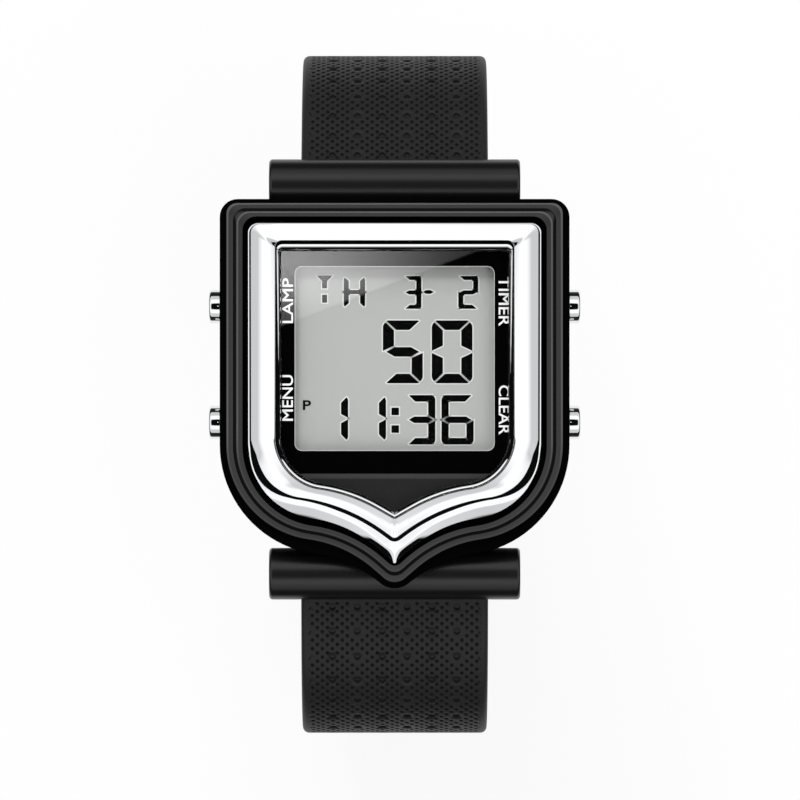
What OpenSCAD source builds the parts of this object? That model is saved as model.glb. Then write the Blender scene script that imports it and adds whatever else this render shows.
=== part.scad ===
// A digital sports watch with a shield-shaped case, standing on the holed half of its open strap.
// The dial faces +Z, 12 o'clock is +Y and 3 o'clock is +X. The floor is z = 0.

/* [Case outline] */
// Half the width of the case at its front rim
rim_half_w = 19.5; // [18.5:0.1:21]
// Height of the rim's top edge above the dial centre
rim_top_y = 21.63; // [20.5:0.01:23]
// Radius of the rim's two top corners
rim_corner_r = 2; // [1:0.1:4]
// Height at which the straight sides end and the round cheeks begin
cheek_y = -5.78; // [-7:0.01:-4.5]
// Radius of the rim's cheeks
cheek_r = 12.28; // [11.5:0.01:13]
// Angle that each cheek turns through
cheek_sweep = 82; // [80:0.5:84]
// Radius of the hollow flanks beside the point
flank_r = 14.58; // [13:0.01:16]
// Slope of the two edges that meet in the point at 6 o'clock
point_angle = 40; // [36:0.5:44]
// Radius of the point
point_r = 2.5; // [1.5:0.1:4]

/* [Bezel steps] */
// Side inset of the lower terrace's outer edge
land_in = 0.78; // [0.5:0.01:1]
// Top inset of the lower terrace's outer edge
land_top_in = 0.47; // [0.3:0.01:0.8]
// Side inset of the upper terrace's inner edge
well_in = 2.63; // [2.3:0.01:2.9]
// Top inset of the upper terrace's inner edge
well_top_in = 2.04; // [1.8:0.01:2.3]
// Side inset of the chrome ring's outer edge
chrome_in = 3.17; // [3:0.01:3.4]
// Top inset of the chrome ring's outer edge
chrome_top_in = 2.66; // [2.4:0.01:2.9]
// Side inset of the chrome ring's crest
crest_in = 3.4; // [3.3:0.01:3.8]
// Top inset of the chrome ring's crest
crest_top_in = 2.9; // [2.8:0.01:3.4]
// Side inset of the chrome ring's inner slope
slope_in = 6.2; // [5.8:0.01:6.5]
// Top inset of the chrome ring's inner slope
slope_top_in = 4.66; // [4.4:0.01:4.9]
// Width of the lip between the chrome slope and the crystal
lip_w = 0.55; // [0.5:0.01:0.9]
// Extra width of that lip along the top edge
lip_top_extra = 0.52; // [0:0.01:0.7]

/* [Case heights above the case back] */
// Bottom of the case body
body_z = 1.2; // [1:0.1:1.5]
// Front face of the case body, where the bezel sits
seat_z = 8.4; // [8.1:0.1:9]
// Height of the outer wall of the front bezel
bezel_wall_h = 1.1; // [0.8:0.1:1.5]
// Height of the lower terrace above the bezel's seat
land_h = 1.9; // [1.6:0.1:2.1]
// Height of the upper terrace above the bezel's seat
well_h = 2.55; // [2.3:0.05:2.9]
// Height of the floor that carries the chrome ring above the bezel's seat
chrome_seat_h = 1.2; // [1:0.1:1.4]
// Height of the chrome ring's crest above its seat
chrome_h = 2.2; // [2:0.1:2.5]
// Height of the chrome ring's lip above its seat
chrome_lip_h = 0.6; // [0.4:0.05:0.8]
// Thickness of the crystal
crystal_t = 1.6; // [1.4:0.05:1.8]
// Thickness of the printed films under the crystal
film_t = 0.1; // [0.05:0.01:0.15]
// Thickness of the case's front wall under the crystal
front_wall_t = 0.6; // [0.5:0.05:0.8]

/* [Case walls] */
// How far the case body stands in from the bezel's rim
body_in = 0.6; // [0.4:0.1:0.8]
// How far the lower edge of the case body stands in from the rim
foot_in = 1.1; // [0.9:0.1:1.3]
// Thickness of the case's side wall
wall_t = 1.9; // [1.7:0.1:2.1]
// Width of the ledge that carries the crystal
ledge_w = 0.7; // [0.5:0.05:0.9]
// Lowest point of the case body towards 6 o'clock
body_end_y = -17.3; // [-17.5:0.1:-17]
// Lowest point of the room inside the case
room_end_y = -13.6; // [-14:0.1:-13]

/* [Lug hoods] */
// Radius of the two round lug hoods
hood_r = 2.9; // [2.6:0.05:3]
// Width of the lug hoods
hood_w = 28.1; // [26.5:0.1:29]
// Rounding of the ends of the hoods
hood_edge_r = 0.4; // [0.2:0.05:0.7]
// Distance of the upper hood's centre line from the dial centre
upper_hood_y = 23.3; // [22.9:0.05:23.6]
// Distance of the lower hood's centre line from the dial centre
lower_hood_y = 20.25; // [19.9:0.05:20.5]
// Height of the hoods' centre lines above the case back
hood_z = 5.4; // [5.2:0.05:5.6]
// Height of the strap pivots above the case back
pivot_h = 3.9; // [3.7:0.05:4.1]
// How far the strap pivots lie outward of the hoods' centre lines
pivot_out = 0.5; // [0.4:0.05:0.8]
// Radius of the strap's knuckle round the spring bar
knuckle_r = 1.9; // [1.7:0.05:2]
// Clearance round the knuckle
knuckle_gap = 0.2; // [0.15:0.01:0.3]
// Side clearance of the strap between the lug blocks
slot_gap = 0.2; // [0.1:0.05:0.3]

/* [Strap] */
// Thickness of the strap
strap_t = 2.6; // [2.3:0.1:2.8]
// Width of the strap at the case
strap_w = 21; // [20:0.1:22]
// How much narrower the strap is at the buckle and at its tip
strap_narrowing = 3; // [2:0.1:4]
// Rounding of the strap's long edges
strap_edge_r = 0.7; // [0.4:0.05:1]
// Farthest reach of both strap halves from the dial centre
strap_reach = 38.9; // [37.5:0.1:40]
// Clearance between the hanging buckle and the tail of the strap
buckle_lift = 7.616; // [6:0.001:10]
// Downward slope of the upper half where it leaves its hood
upper_slope = 36; // [30:1:40]
// Length of the upper half's straight root
upper_root = 7.5; // [6.5:0.1:8.5]
// Straight drop of the upper half below its widest reach
upper_drop = 2; // [1:0.1:3]
// Radius of the upper half's lower bend
upper_bend_r = 20; // [19:0.1:21]
// Length of the straight end that carries the buckle
upper_end = 12; // [11.5:0.1:13]
// Downward slope of the lower half where it leaves its hood
lower_slope = 12; // [8:1:16]
// Length of the lower half's straight root
lower_root = 6.35; // [5.5:0.1:7]
// Radius of the lower half's lower bend
lower_bend_r = 30; // [28:0.5:31]
// Length of the flat tail that the watch stands on
tail_len = 30; // [27:0.5:32]
// Radius of the rounded corners at the tip of the tail
tip_r = 7; // [5:0.5:8.5]
// Radius of the adjustment holes
hole_r = 1.05; // [0.8:0.05:1.2]
// Distance from the tip to the first adjustment hole
hole_start = 13; // [11:0.5:15]
// Distance between neighbouring adjustment holes
hole_pitch = 6; // [5:0.5:7]
// How many adjustment holes there are
hole_count = 8; // [5:1:9]

/* [Spring bars] */
// Radius of the spring bar's tube
bar_r = 0.75; // [0.7:0.01:0.85]
// Wall thickness of that tube
bar_wall = 0.2; // [0.15:0.01:0.25]
// Radius of the spring bar's end pins
bar_pin_r = 0.4; // [0.35:0.01:0.45]
// How far each end pin stands out of its tube
bar_pin_out = 1.1; // [1:0.05:1.3]
// Length of the shoulder of an end pin inside the tube
bar_shoulder = 1.5; // [1:0.1:2]

/* [Buckle and keepers] */
// Radius of the knuckle round the buckle bar
buckle_knuckle_r = 1.8; // [1.6:0.05:1.95]
// Width of the slot for the prong
prong_slot_w = 2.8; // [2.6:0.1:3.2]
// Length of that slot from the bar
prong_slot_len = 5; // [4.5:0.1:5.5]
// Length of the buckle frame from the bar to its outer edge
frame_len = 11.5; // [11:0.1:11.8]
// Width of the frame's arms
frame_arm = 2.2; // [1.8:0.1:2.6]
// Thickness of the frame
frame_t = 2; // [1.7:0.1:2.1]
// Rounding of the frame's corners
frame_corner_r = 2.6; // [1.9:0.1:3]
// Side clearance between the strap's end and the frame
frame_gap = 0.3; // [0.2:0.05:0.5]
// Width of the frame's front bar
frame_front = 2.4; // [2:0.1:2.8]
// Width of the prong
prong_w = 2; // [1.6:0.1:2.2]
// Thickness of the prong
prong_t = 1.3; // [1:0.1:1.4]
// Height of the prong's inner face above the middle of the frame
prong_rise = 0.3; // [0.25:0.01:0.4]
// Clearance between the prong and the notch in the frame
notch_gap = 0.1; // [0.05:0.01:0.15]
// Length of a keeper along the strap
keeper_len = 4.4; // [3.8:0.1:4.8]
// Wall thickness of a keeper
keeper_wall = 1.2; // [1:0.1:1.4]
// Clearance of the free keeper round the curved strap
keeper_gap = 0.3; // [0.25:0.01:0.4]
// Rounding of the keepers' windows
keeper_edge_r = 0.5; // [0.3:0.05:0.65]
// Depth of the notch that holds the fixed keeper
keeper_notch = 0.3; // [0.2:0.05:0.4]
// Distance between the two keepers in keeper lengths
keeper_spacing = 1.22; // [1.2:0.01:1.4]
// Spare height in a keeper above two layers of strap
keeper_spare = 0.4; // [0.3:0.05:0.6]

/* [Buttons] */
// Radius of the button heads
button_r = 1.9; // [1.7:0.05:2]
// How far a button reaches from the middle of the watch
button_reach = 20.9; // [20.5:0.05:21.2]
// Height of the two upper buttons above the dial centre
button_high_y = 9.7; // [9:0.1:10.5]
// Height of the two lower buttons above the dial centre
button_low_y = -3.3; // [-3.4:0.1:-2.5]
// Height of the buttons above the case back
button_z = 5.2; // [5:0.1:5.4]
// Travel of a button
button_travel = 1; // [0.8:0.05:1]
// Rounding of a button's outer edge
button_edge_r = 0.45; // [0.3:0.05:0.6]
// Radius of a button's stem
stem_r = 0.8; // [0.7:0.05:0.9]
// Clearance between a stem and its bore
stem_gap = 0.05; // [0.03:0.01:0.08]
// Clearance between a button head and its sleeve
head_gap = 0.1; // [0.06:0.01:0.15]
// Wall thickness of the metal sleeves
sleeve_t = 0.35; // [0.25:0.05:0.45]
// Depth of the sleeves in the case wall
sleeve_depth = 2; // [1.8:0.1:2.1]
// Radius of the bosses inside the case that guide the stems
guide_r = 2.5; // [2.3:0.1:2.6]
// How far those bosses reach in from the middle of the watch
guide_x = 15.2; // [15:0.1:15.4]

/* [Display and module] */
// Width of the visible part of the display
view_w = 22.3; // [21:0.1:22.6]
// Height of the visible part of the display
view_h = 20.6; // [19.5:0.1:21]
// Height of the display's centre above the dial centre
view_y = 3.85; // [3.5:0.05:4.2]
// Rounding of the display window's corners
view_corner_r = 0.8; // [0.4:0.1:1.2]
// Height of the boundary between the mask and the panel in the point
panel_y = -9; // [-9.4:0.1:-8.6]
// Thickness of each display glass
glass_t = 0.6; // [0.5:0.05:0.7]
// Thickness of the polarizer and of the reflector
sheet_t = 0.2; // [0.15:0.01:0.25]
// Thickness of the segment layer between the glasses
ink_t = 0.05; // [0.03:0.01:0.08]
// How far both display glasses reach past the visible part at the sides
glass_side = 1.15; // [1:0.05:1.3]
// How far the rear glass reaches past the visible part at its ends
glass_end = 0.4; // [0.3:0.05:0.6]
// Width of the front glass's two contact strips
strip_w = 1.8; // [1.7:0.05:2]
// Width of the rubber connectors under those strips
zebra_w = 1.2; // [1:0.05:1.3]
// Thickness of the light guide
guide_t = 0.9; // [0.8:0.05:1]
// Thickness of the circuit board
board_t = 0.8; // [0.6:0.1:1]
// Radius of the battery
battery_r = 10; // [9.5:0.1:10]
// Thickness of the battery
battery_t = 2.5; // [2:0.1:2.5]
// Height of the battery's centre above the dial centre
battery_y = -1.5; // [-2:0.1:-1]
// Side gap between the module frame and the case
module_gap = 0.15; // [0.1:0.05:0.2]
// Wall thickness of the module frame
module_wall = 1.35; // [1.2:0.05:1.5]
// Radius of the module's screws
module_screw_r = 0.5; // [0.4:0.05:0.6]
// Clearance between neighbouring parts of the module
fit = 0.1; // [0.05:0.01:0.12]
// Width of the clip across the battery
clip_band = 5; // [4:0.1:6]
// Width of the controller chip
chip_w = 6; // [5:0.1:7]
// Height of the controller chip
chip_h = 5; // [4:0.1:5.5]
// Height of the chip's centre above the dial centre
chip_y = 13; // [12.6:0.1:13.4]
// Radius of the coil
coil_r = 2; // [1.5:0.1:2.2]
// Sideways place of the coil
coil_x = 9.3; // [9:0.1:9.8]
// Height of the coil's centre above the dial centre
coil_y = 14.3; // [14:0.1:14.6]
// Radius of the quartz crystal's can
can_r = 0.75; // [0.6:0.05:0.8]
// Length of that can
can_len = 5.2; // [4.5:0.1:5.4]
// Height of the can's centre above the dial centre
can_y = 10.6; // [10.3:0.1:10.8]
// Width of a small component
small_w = 1; // [0.8:0.1:1.2]
// Radius of the sounding disc
piezo_r = 3.6; // [3:0.1:3.8]
// Sideways place of the sounding disc
piezo_x = -8.6; // [-9:0.1:-8.4]
// Height of the disc's centre above the dial centre
piezo_y = 13.2; // [13:0.1:13.6]
// Thickness of the disc
piezo_t = 0.25; // [0.2:0.05:0.3]

/* [Case back] */
// Radius of the case back screws' heads
screw_head_r = 1.4; // [1.2:0.1:1.5]
// Radius of the case back screws' shanks
screw_r = 0.7; // [0.6:0.05:0.8]
// Length of the case back screws
screw_len = 4.4; // [3.5:0.1:5]
// Radius of the bosses that take the screws
boss_r = 1.9; // [1.7:0.1:2]
// Sideways place of the upper case back screws
screw_high_x = 14.9; // [14.6:0.1:15]
// Height of the upper case back screws above the dial centre
screw_high_y = 17.1; // [16.9:0.1:17.3]
// Sideways place of the lower case back screws
screw_low_x = 13.2; // [13:0.1:13.4]
// Height of the lower case back screws above the dial centre
screw_low_y = -11.4; // [-11.6:0.1:-11.2]
// Distance of the back gasket's groove from the case's rim
seal_in = 1.45; // [1.4:0.05:1.5]
// Distance of its lower run beyond the room inside the case
seal_end = 1.4; // [1.3:0.1:1.5]
// Width and height of the back gasket's section
seal_w = 0.6; // [0.5:0.05:0.7]

/* [Hidden] */

eps = 0.01;
slip = 0.03;
far = 30;
$fn = 48;
point_steps = 3;
flank_steps = 6;
cheek_steps = 9;
corner_steps = 4;
bend_step = 6;

// An outline is [half width, top, corner radius, cheek height, cheek radius, flank radius, point
// angle, point radius].
rim = [rim_half_w, rim_top_y, rim_corner_r, cheek_y, cheek_r, flank_r, point_angle, point_r];
// Each inner outline steps in from the rim by its side and top insets, and by these changes of
// corner radius, cheek height, cheek radius, flank radius, point angle and point radius.
land_change = [-0.85, 0, -1.68, -0.55, 1, -0.75];
well_change = [-0.5, 0, -3.23, 0.31, 1.1, -1.57];
chrome_change = [-0.9, 0, -4.04, -0.4, 2.8, -2.25];
crest_change = [-1, 0.6, -5.63, 5.71, -3.5, -2.22];
slope_change = [-1.2, 0.93, -6.44, 2.88, -10.4, -2.2];
land = step_in(rim, land_in, land_top_in, land_change);
well = step_in(rim, well_in, well_top_in, well_change);
chrome_edge = step_in(rim, chrome_in, chrome_top_in, chrome_change);
crest = step_in(rim, crest_in, crest_top_in, crest_change);
slope = step_in(rim, slope_in, slope_top_in, slope_change);
lip_edge = step_in(inset(slope, lip_w), 0, lip_top_extra, [0.3, 0, 0, 0, 0, 0]);
crystal_edge = inset(lip_edge, slip);
room = inset(rim, body_in + wall_t);
glass_w = view_w + 2 * glass_side;
rear_glass_h = view_h + 2 * glass_end;
front_glass_h = rear_glass_h + 2 * strip_w;
module_edge = inset(room, module_gap);

chrome_z = seat_z + chrome_seat_h;
crystal_z = seat_z + film_t;
polarizer_z = seat_z - front_wall_t - slip - sheet_t;
front_glass_z = polarizer_z - glass_t;
ink_z = front_glass_z - ink_t;
rear_glass_z = ink_z - glass_t;
reflector_z = rear_glass_z - sheet_t;
light_z = reflector_z - guide_t;
board_top_z = light_z - fit;
board_z = board_top_z - board_t;
battery_z = body_z + 0.35;
clip_t = 0.25;
module_z = body_z + fit;
// The segments of a character: top, upper right, lower right, bottom, lower left, upper left,
// middle, upper centre and lower centre. Each list holds the ones that are dark.
zero = [0, 1, 2, 3, 4, 5];
one = [1, 2];
two = [0, 1, 3, 4, 6];
three = [0, 1, 2, 3, 6];
five = [0, 2, 3, 5, 6];
six = [0, 2, 3, 4, 5, 6];
letter_t = [0, 7, 8];
letter_h = [1, 2, 4, 5, 6];
letter_p = [0, 1, 4, 5, 6];
dash = [6];
// What the display shows, in shares of its visible part: place across, place up, width, height,
// stroke and dark segments
shown = [
    [0.110, 0.052, 0.157, 0.245, 0.0426, one], [0.300, 0.052, 0.157, 0.245, 0.0426, one],
    [0.560, 0.034, 0.144, 0.268, 0.0426, three], [0.735, 0.034, 0.161, 0.268, 0.0426, six],
    [0.441, 0.366, 0.200, 0.341, 0.0493, five], [0.686, 0.366, 0.204, 0.341, 0.0493, zero],
    [0.109, 0.801, 0.080, 0.150, 0.0270, letter_t], [0.245, 0.778, 0.107, 0.166, 0.0270, letter_h],
    [0.546, 0.770, 0.088, 0.178, 0.0280, three], [0.819, 0.770, 0.100, 0.178, 0.0280, two],
    [0.633, 0.825, 0.072, 0.073, 0.0224, dash], [0.040, 0.221, 0.041, 0.053, 0.0110, letter_p]
];
colon_x = 0.484;
colon_w = 0.038;
colon_y = [0.097, 0.193];
module_screw_x = 13.9;
module_screw_y = [3.2, 14];
screw_grip = 3.2 * module_screw_r + board_t;

upper_pivot_y = upper_hood_y + pivot_out;
lower_pivot_y = lower_hood_y + pivot_out;
strap_end_w = strap_w - strap_narrowing;
slot_w = strap_w + 2 * slot_gap;
cup_r = knuckle_r + knuckle_gap;
bore_r = bar_r + 0.07;
tube_len = strap_w;

upper_reach = upper_root * cos(upper_slope);
upper_arc_r = (strap_reach - strap_t / 2 - upper_pivot_y - upper_reach)
    / (1 - sin(upper_slope));
lower_arc_r = (strap_reach - strap_t / 2 - lower_pivot_y - lower_root * cos(lower_slope))
    / (1 - sin(lower_slope));
buckle_z = strap_t + buckle_lift + frame_len;
pivot_z = buckle_z + upper_root * sin(upper_slope) + upper_arc_r * cos(upper_slope)
    + upper_drop + upper_bend_r;
case_z = pivot_z - pivot_h;
lower_drop = pivot_z - strap_t / 2 - lower_root * sin(lower_slope) - lower_arc_r * cos(lower_slope)
    - lower_bend_r;
// A strap path is a list of [length, turn] and starts at a pose [distance out, height, slope].
upper_start = [upper_pivot_y, pivot_z, upper_slope];
upper_path = [
    [upper_root, 0], bend(upper_arc_r, 90 - upper_slope), [upper_drop, 0],
    bend(upper_bend_r, 90), [upper_end, 0]
];
lower_start = [lower_pivot_y, pivot_z, lower_slope];
lower_path = [
    [lower_root, 0], bend(lower_arc_r, 90 - lower_slope), [lower_drop, 0],
    bend(lower_bend_r, 90), [tail_len, 0]
];
upper_len = path_len(upper_path);
lower_len = path_len(lower_path);
upper_taper = [upper_root + upper_path[1][0], upper_len - upper_end - upper_path[3][0] / 2];
lower_taper = [lower_root + lower_path[1][0], lower_len - tail_len];
buckle_y = upper_pivot_y + upper_reach + upper_arc_r * (1 - sin(upper_slope))
    - upper_bend_r - upper_end;
buckle_bar_r = 0.75;
frame_inner_w = strap_end_w + 2 * frame_gap;
frame_w = frame_inner_w + 2 * frame_arm;
fixed_keeper_at = upper_len - upper_end - keeper_len / 2 - 0.2;
free_keeper_at = fixed_keeper_at - keeper_len * keeper_spacing;

sleeve_r = button_r + head_gap;
wall_x = rim_half_w - body_in;
sleeve_x = wall_x - sleeve_depth;
head_x = sleeve_x + button_travel + 0.5;
clip_x = guide_x - 0.05;
clip_w = 0.25;
clip_r = 1.3;
stem_end_x = clip_x - clip_w - 0.6;
contact_t = 0.15;
contact_x = stem_end_x - button_travel - 0.05;
seal_x = (guide_x + sleeve_x) / 2;

function bend(r, turn) = [r * turn * PI / 180, turn];
function path_len(path) = len(path) == 0 ? 0 : path[0][0] + path_len(tail_of(path));
function tail_of(list) = len(list) < 2 ? [] : [for (i = [1 : len(list) - 1]) list[i]];

// The pose after a share of one piece of path
function moved(pose, piece, share) =
    piece[1] == 0
    ? [
        pose[0] + piece[0] * share * cos(pose[2]),
        pose[1] - piece[0] * share * sin(pose[2]),
        pose[2]
    ]
    : let (r = piece[0] / (piece[1] * PI / 180), end = pose[2] + piece[1] * share)
    [
        pose[0] + r * (sin(end) - sin(pose[2])),
        pose[1] - r * (cos(pose[2]) - cos(end)),
        end
    ];

// The pose at a distance along a path
function along(pose, path, d) =
    len(path) == 1 || d <= path[0][0]
    ? moved(pose, path[0], d / path[0][0])
    : along(moved(pose, path[0], 1), tail_of(path), d - path[0][0]);

// The distances at which a strap gets a section
function stations(path, from = 0) =
    len(path) == 0 ? [from]
    : let (n = path[0][1] == 0 ? 1 : ceil(path[0][1] / bend_step))
    concat(
        [for (i = [0 : n - 1]) from + path[0][0] * i / n],
        stations(tail_of(path), from + path[0][0])
    );

function clamp01(v) = min(1, max(0, v));

function width_at(d, taper) =
    strap_w + (strap_end_w - strap_w) * clamp01((d - taper[0]) / (taper[1] - taper[0]));

function step_in(o, side, top, change) = [
    o[0] - side, o[1] - top, max(0.2, o[2] + change[0]), o[3] + change[1], o[4] + change[2],
    o[5] + change[3], o[6] + change[4], max(0.15, o[7] + change[5])
];

function inset(o, d) = [
    o[0] - d, o[1] - d, max(0.2, o[2] - d), o[3], o[4] - d, o[5] + d, o[6], max(0.15, o[7] - d)
];

function blend(a, b, share) = [for (i = [0 : len(a) - 1]) a[i] + (b[i] - a[i]) * share];

// The right half of an outline from the point at 6 o'clock up to the top edge
function right_half(o) =
    let (
        rc = o[4], rf = o[5], slope_end = o[6], rp = o[7],
        lean = 90 - cheek_sweep,
        x1 = o[0] - rc + rc * cos(cheek_sweep),
        y1 = o[3] - rc * sin(cheek_sweep),
        x2 = x1 - rf * (sin(slope_end) - sin(lean)),
        y2 = y1 - rf * (cos(lean) - cos(slope_end)),
        x3 = rp * sin(slope_end),
        y3 = y2 - (x2 - x3) * tan(slope_end)
    )
    concat(
        [for (i = [0 : point_steps]) let (t = slope_end * i / point_steps)
            [x3 - rp * (sin(slope_end) - sin(t)), y3 - rp * (cos(t) - cos(slope_end))]],
        [for (i = [0 : flank_steps]) let (t = slope_end + (lean - slope_end) * i / flank_steps)
            [x1 - rf * (sin(t) - sin(lean)), y1 - rf * (cos(lean) - cos(t))]],
        [for (i = [1 : cheek_steps]) let (t = cheek_sweep * (1 - i / cheek_steps))
            [o[0] - rc + rc * cos(t), o[3] - rc * sin(t)]],
        [for (i = [0 : corner_steps]) let (t = 90 * i / corner_steps)
            [o[0] - o[2] + o[2] * cos(t), o[1] - o[2] + o[2] * sin(t)]]
    );

function outline(o) =
    let (half = right_half(o))
    concat(half, [for (i = [len(half) - 1 : -1 : 1]) [-half[i][0], half[i][1]]]);

// A strap's section: a rectangle with rounded corners, in width and thickness
function section(w) =
    [for (corner = [0 : 3], i = [0 : 2])
        let (
            t = 90 * corner + 45 * i,
            sx = corner == 0 || corner == 3 ? 1 : -1,
            sz = corner < 2 ? 1 : -1
        )
        [
            sx * (w / 2 - strap_edge_r) + strap_edge_r * cos(t),
            sz * (strap_t / 2 - strap_edge_r) + strap_edge_r * sin(t)
        ]];

// Solids that several pieces share

module in_case() {
    translate([0, 0, case_z]) children();
}

// Everything on the 6 o'clock side of a height
module beyond(y) {
    translate([-far, y - 2 * far, -far]) cube(2 * far);
}

module plate(o, z, t) {
    translate([0, 0, z]) linear_extrude(t) polygon(outline(o));
}

// A ring whose closed profile is a list of [outline, height]
module ring(profile) {
    n = len(outline(profile[0][0]));
    m = len(profile);
    points = [for (p = profile) for (q = outline(p[0])) [q[0], q[1], p[1]]];
    faces = [for (j = [0 : m - 1], i = [0 : n - 1], half = [0, 1])
        let (
            a = j * n + i,
            b = j * n + (i + 1) % n,
            c = ((j + 1) % m) * n + (i + 1) % n,
            d = ((j + 1) % m) * n + i
        )
        half == 0 ? [a, d, c] : [a, c, b]];
    polyhedron(points, faces);
}

module rounded(w, h, r) {
    square([w, h - 2 * r], center = true);
    square([w - 2 * r, h], center = true);
    for (x = [-1, 1], y = [-1, 1]) translate([x * (w / 2 - r), y * (h / 2 - r)]) circle(r);
}

module slab(w, h, t, y, z) {
    translate([-w / 2, y - h / 2, z]) cube([w, h, t]);
}

// A rod along X, centred, with rounded ends
module rod(r, length, edge) {
    rotate([0, 90, 0]) rotate_extrude() intersection() {
        rounded(2 * r, length, edge);
        translate([0, -length]) square([r + 1, 2 * length]);
    }
}

// A cylinder along X from one x to another
module bar(r, x0, x1) {
    translate([x0, 0, 0]) rotate([0, 90, 0]) cylinder(r = r, h = x1 - x0);
}

module tube(r_out, r_in, x0, x1) {
    difference() {
        bar(r_out, x0, x1);
        bar(r_in, x0 - 1, x1 + 1);
    }
}

module at_pose(pose) {
    translate([0, pose[0], pose[1]]) rotate([-pose[2], 0, 0]) children();
}

module strap_band(start, path, taper) {
    list = stations(path);
    n = 12;
    points = [for (d = list) let (pose = along(start, path, d)) for (q = section(width_at(d, taper)))
        [q[0], pose[0] + q[1] * sin(pose[2]), pose[1] + q[1] * cos(pose[2])]];
    last = len(list) - 1;
    sides = [for (j = [0 : last - 1], i = [0 : n - 1], half = [0, 1])
        let (a = j * n + i, b = j * n + (i + 1) % n, c = a + n, d = b + n)
        half == 0 ? [a, d, c] : [a, b, d]];
    ends = [[for (i = [n - 1 : -1 : 0]) i], [for (i = [0 : n - 1]) last * n + i]];
    polyhedron(points, concat(sides, ends));
}

// The seats and sides of the case that repeat

module screw_spots() {
    for (s = [-1, 1]) {
        translate([s * screw_high_x, screw_high_y, 0]) children();
        translate([s * screw_low_x, screw_low_y, 0]) children();
    }
}

// Places a child, drawn on the +X side, at one button
module at_button(side, y) {
    in_case() translate([0, y, button_z]) mirror([side < 0 ? 1 : 0, 0, 0]) children();
}

module button_spots() {
    for (side = [-1, 1], y = [button_high_y, button_low_y])
        translate([0, y, button_z]) mirror([side < 0 ? 1 : 0, 0, 0]) children();
}

// The hood of one strap, drawn outward along +Y, with the pivot at pivot_y
module hood(pivot_y) {
    translate([0, pivot_y - pivot_out, hood_z]) rod(hood_r, hood_w, hood_edge_r);
    for (s = [-1, 1]) translate([s * (slot_w / 2 + hood_w / 2) / 2, pivot_y, pivot_h])
        rod(cup_r, (hood_w - slot_w) / 2, hood_edge_r);
}

// The room that the strap's knuckle and root need in the hood
module hood_room(pivot_y) {
    translate([-slot_w / 2, 0, 0]) rotate([90, 0, 90]) linear_extrude(slot_w)
        translate([pivot_y, pivot_h]) {
            circle(cup_r);
            translate([0, -8]) square([8, 8 + knuckle_r]);
        }
    for (s = [-1, 1]) translate([0, pivot_y, pivot_h])
        bar(bar_pin_r + 0.05, s > 0 ? slot_w / 2 - 1 : -slot_w / 2 - bar_pin_out - 0.1,
            s > 0 ? slot_w / 2 + bar_pin_out + 0.1 : -slot_w / 2 + 1);
}

// The sill that the strap's root rests on at the inner end of its swing
module sill(pivot_y, slope_angle, reach, start_y) {
    drop = (strap_t / 2 + 0.06) / cos(slope_angle);
    difference() {
        translate([-slot_w / 2 - 0.5, 0, 0]) rotate([90, 0, 90]) linear_extrude(slot_w + 1)
            polygon([
                [start_y, body_z], [pivot_y + reach, body_z],
                [pivot_y + reach, pivot_h - drop - reach * tan(slope_angle)],
                [pivot_y, pivot_h - drop], [start_y, pivot_h - drop]
            ]);
        translate([0, pivot_y, pivot_h]) bar(cup_r, -slot_w / 2, slot_w / 2);
    }
}

// Case

module case_body() {
    room_h = seat_z - front_wall_t - body_z;
    color("#161617") in_case() difference() {
        union() {
            difference() {
                union() {
                    plate(inset(rim, foot_in), body_z, 1);
                    plate(inset(rim, body_in), body_z + 1, seat_z - body_z - 1);
                }
                beyond(body_end_y);
                difference() {
                    plate(room, body_z - 1, room_h + 1);
                    beyond(room_end_y);
                    screw_spots() cylinder(r = boss_r, h = seat_z);
                    button_spots() bar(guide_r, guide_x, wall_x);
                }
                plate(inset(lip_edge, ledge_w), body_z, seat_z);
            }
            difference() {
                union() {
                    hood(upper_pivot_y);
                    mirror([0, 1, 0]) hood(lower_pivot_y);
                    slab(slot_w + 0.6, 3, hood_z - body_z, body_end_y - 1, body_z);
                }
                hood_room(upper_pivot_y);
                mirror([0, 1, 0]) hood_room(lower_pivot_y);
                plate(inset(rim, body_in + wall_t / 2), body_z - 2, seat_z);
            }
            sill(upper_pivot_y, upper_slope, 1.2, rim_top_y - foot_in - 0.8);
            mirror([0, 1, 0]) sill(lower_pivot_y, lower_slope, 2.2, -body_end_y - 0.5);
        }
        button_spots() {
            bar(sleeve_r + sleeve_t, sleeve_x, wall_x + 1);
            bar(stem_r + stem_gap, guide_x - 1, wall_x);
            bar(stem_r + 0.5, seal_x - 0.25, seal_x + 0.25);
        }
        screw_spots() translate([0, 0, body_z - 1]) cylinder(r = screw_r + 0.02, h = screw_len + 1);
        back_seal(seal_w + 0.02);
    }
}

module back_seal(w) {
    translate([0, 0, body_z - eps]) linear_extrude(seal_w + eps) difference() {
        seal_outline(seal_in);
        seal_outline(seal_in + w);
    }
}

module seal_outline(d) {
    difference() {
        polygon(outline(inset(rim, d)));
        translate([-far, room_end_y - far - seal_end + d - seal_in]) square([2 * far, far]);
    }
}

module front_bezel() {
    color("#1c1c1e") in_case() ring([
        [inset(rim, 0.3), seat_z],
        [rim, seat_z + 0.4],
        [rim, seat_z + bezel_wall_h],
        [land, seat_z + land_h],
        [blend(land, well, 0.4), seat_z + land_h + 0.05],
        [blend(land, well, 0.6), seat_z + well_h - 0.05],
        [well, seat_z + well_h],
        [chrome_edge, seat_z + well_h - 0.9],
        [chrome_edge, chrome_z],
        [inset(slope, slip), chrome_z],
        [inset(slope, slip), seat_z]
    ]);
}

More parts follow.
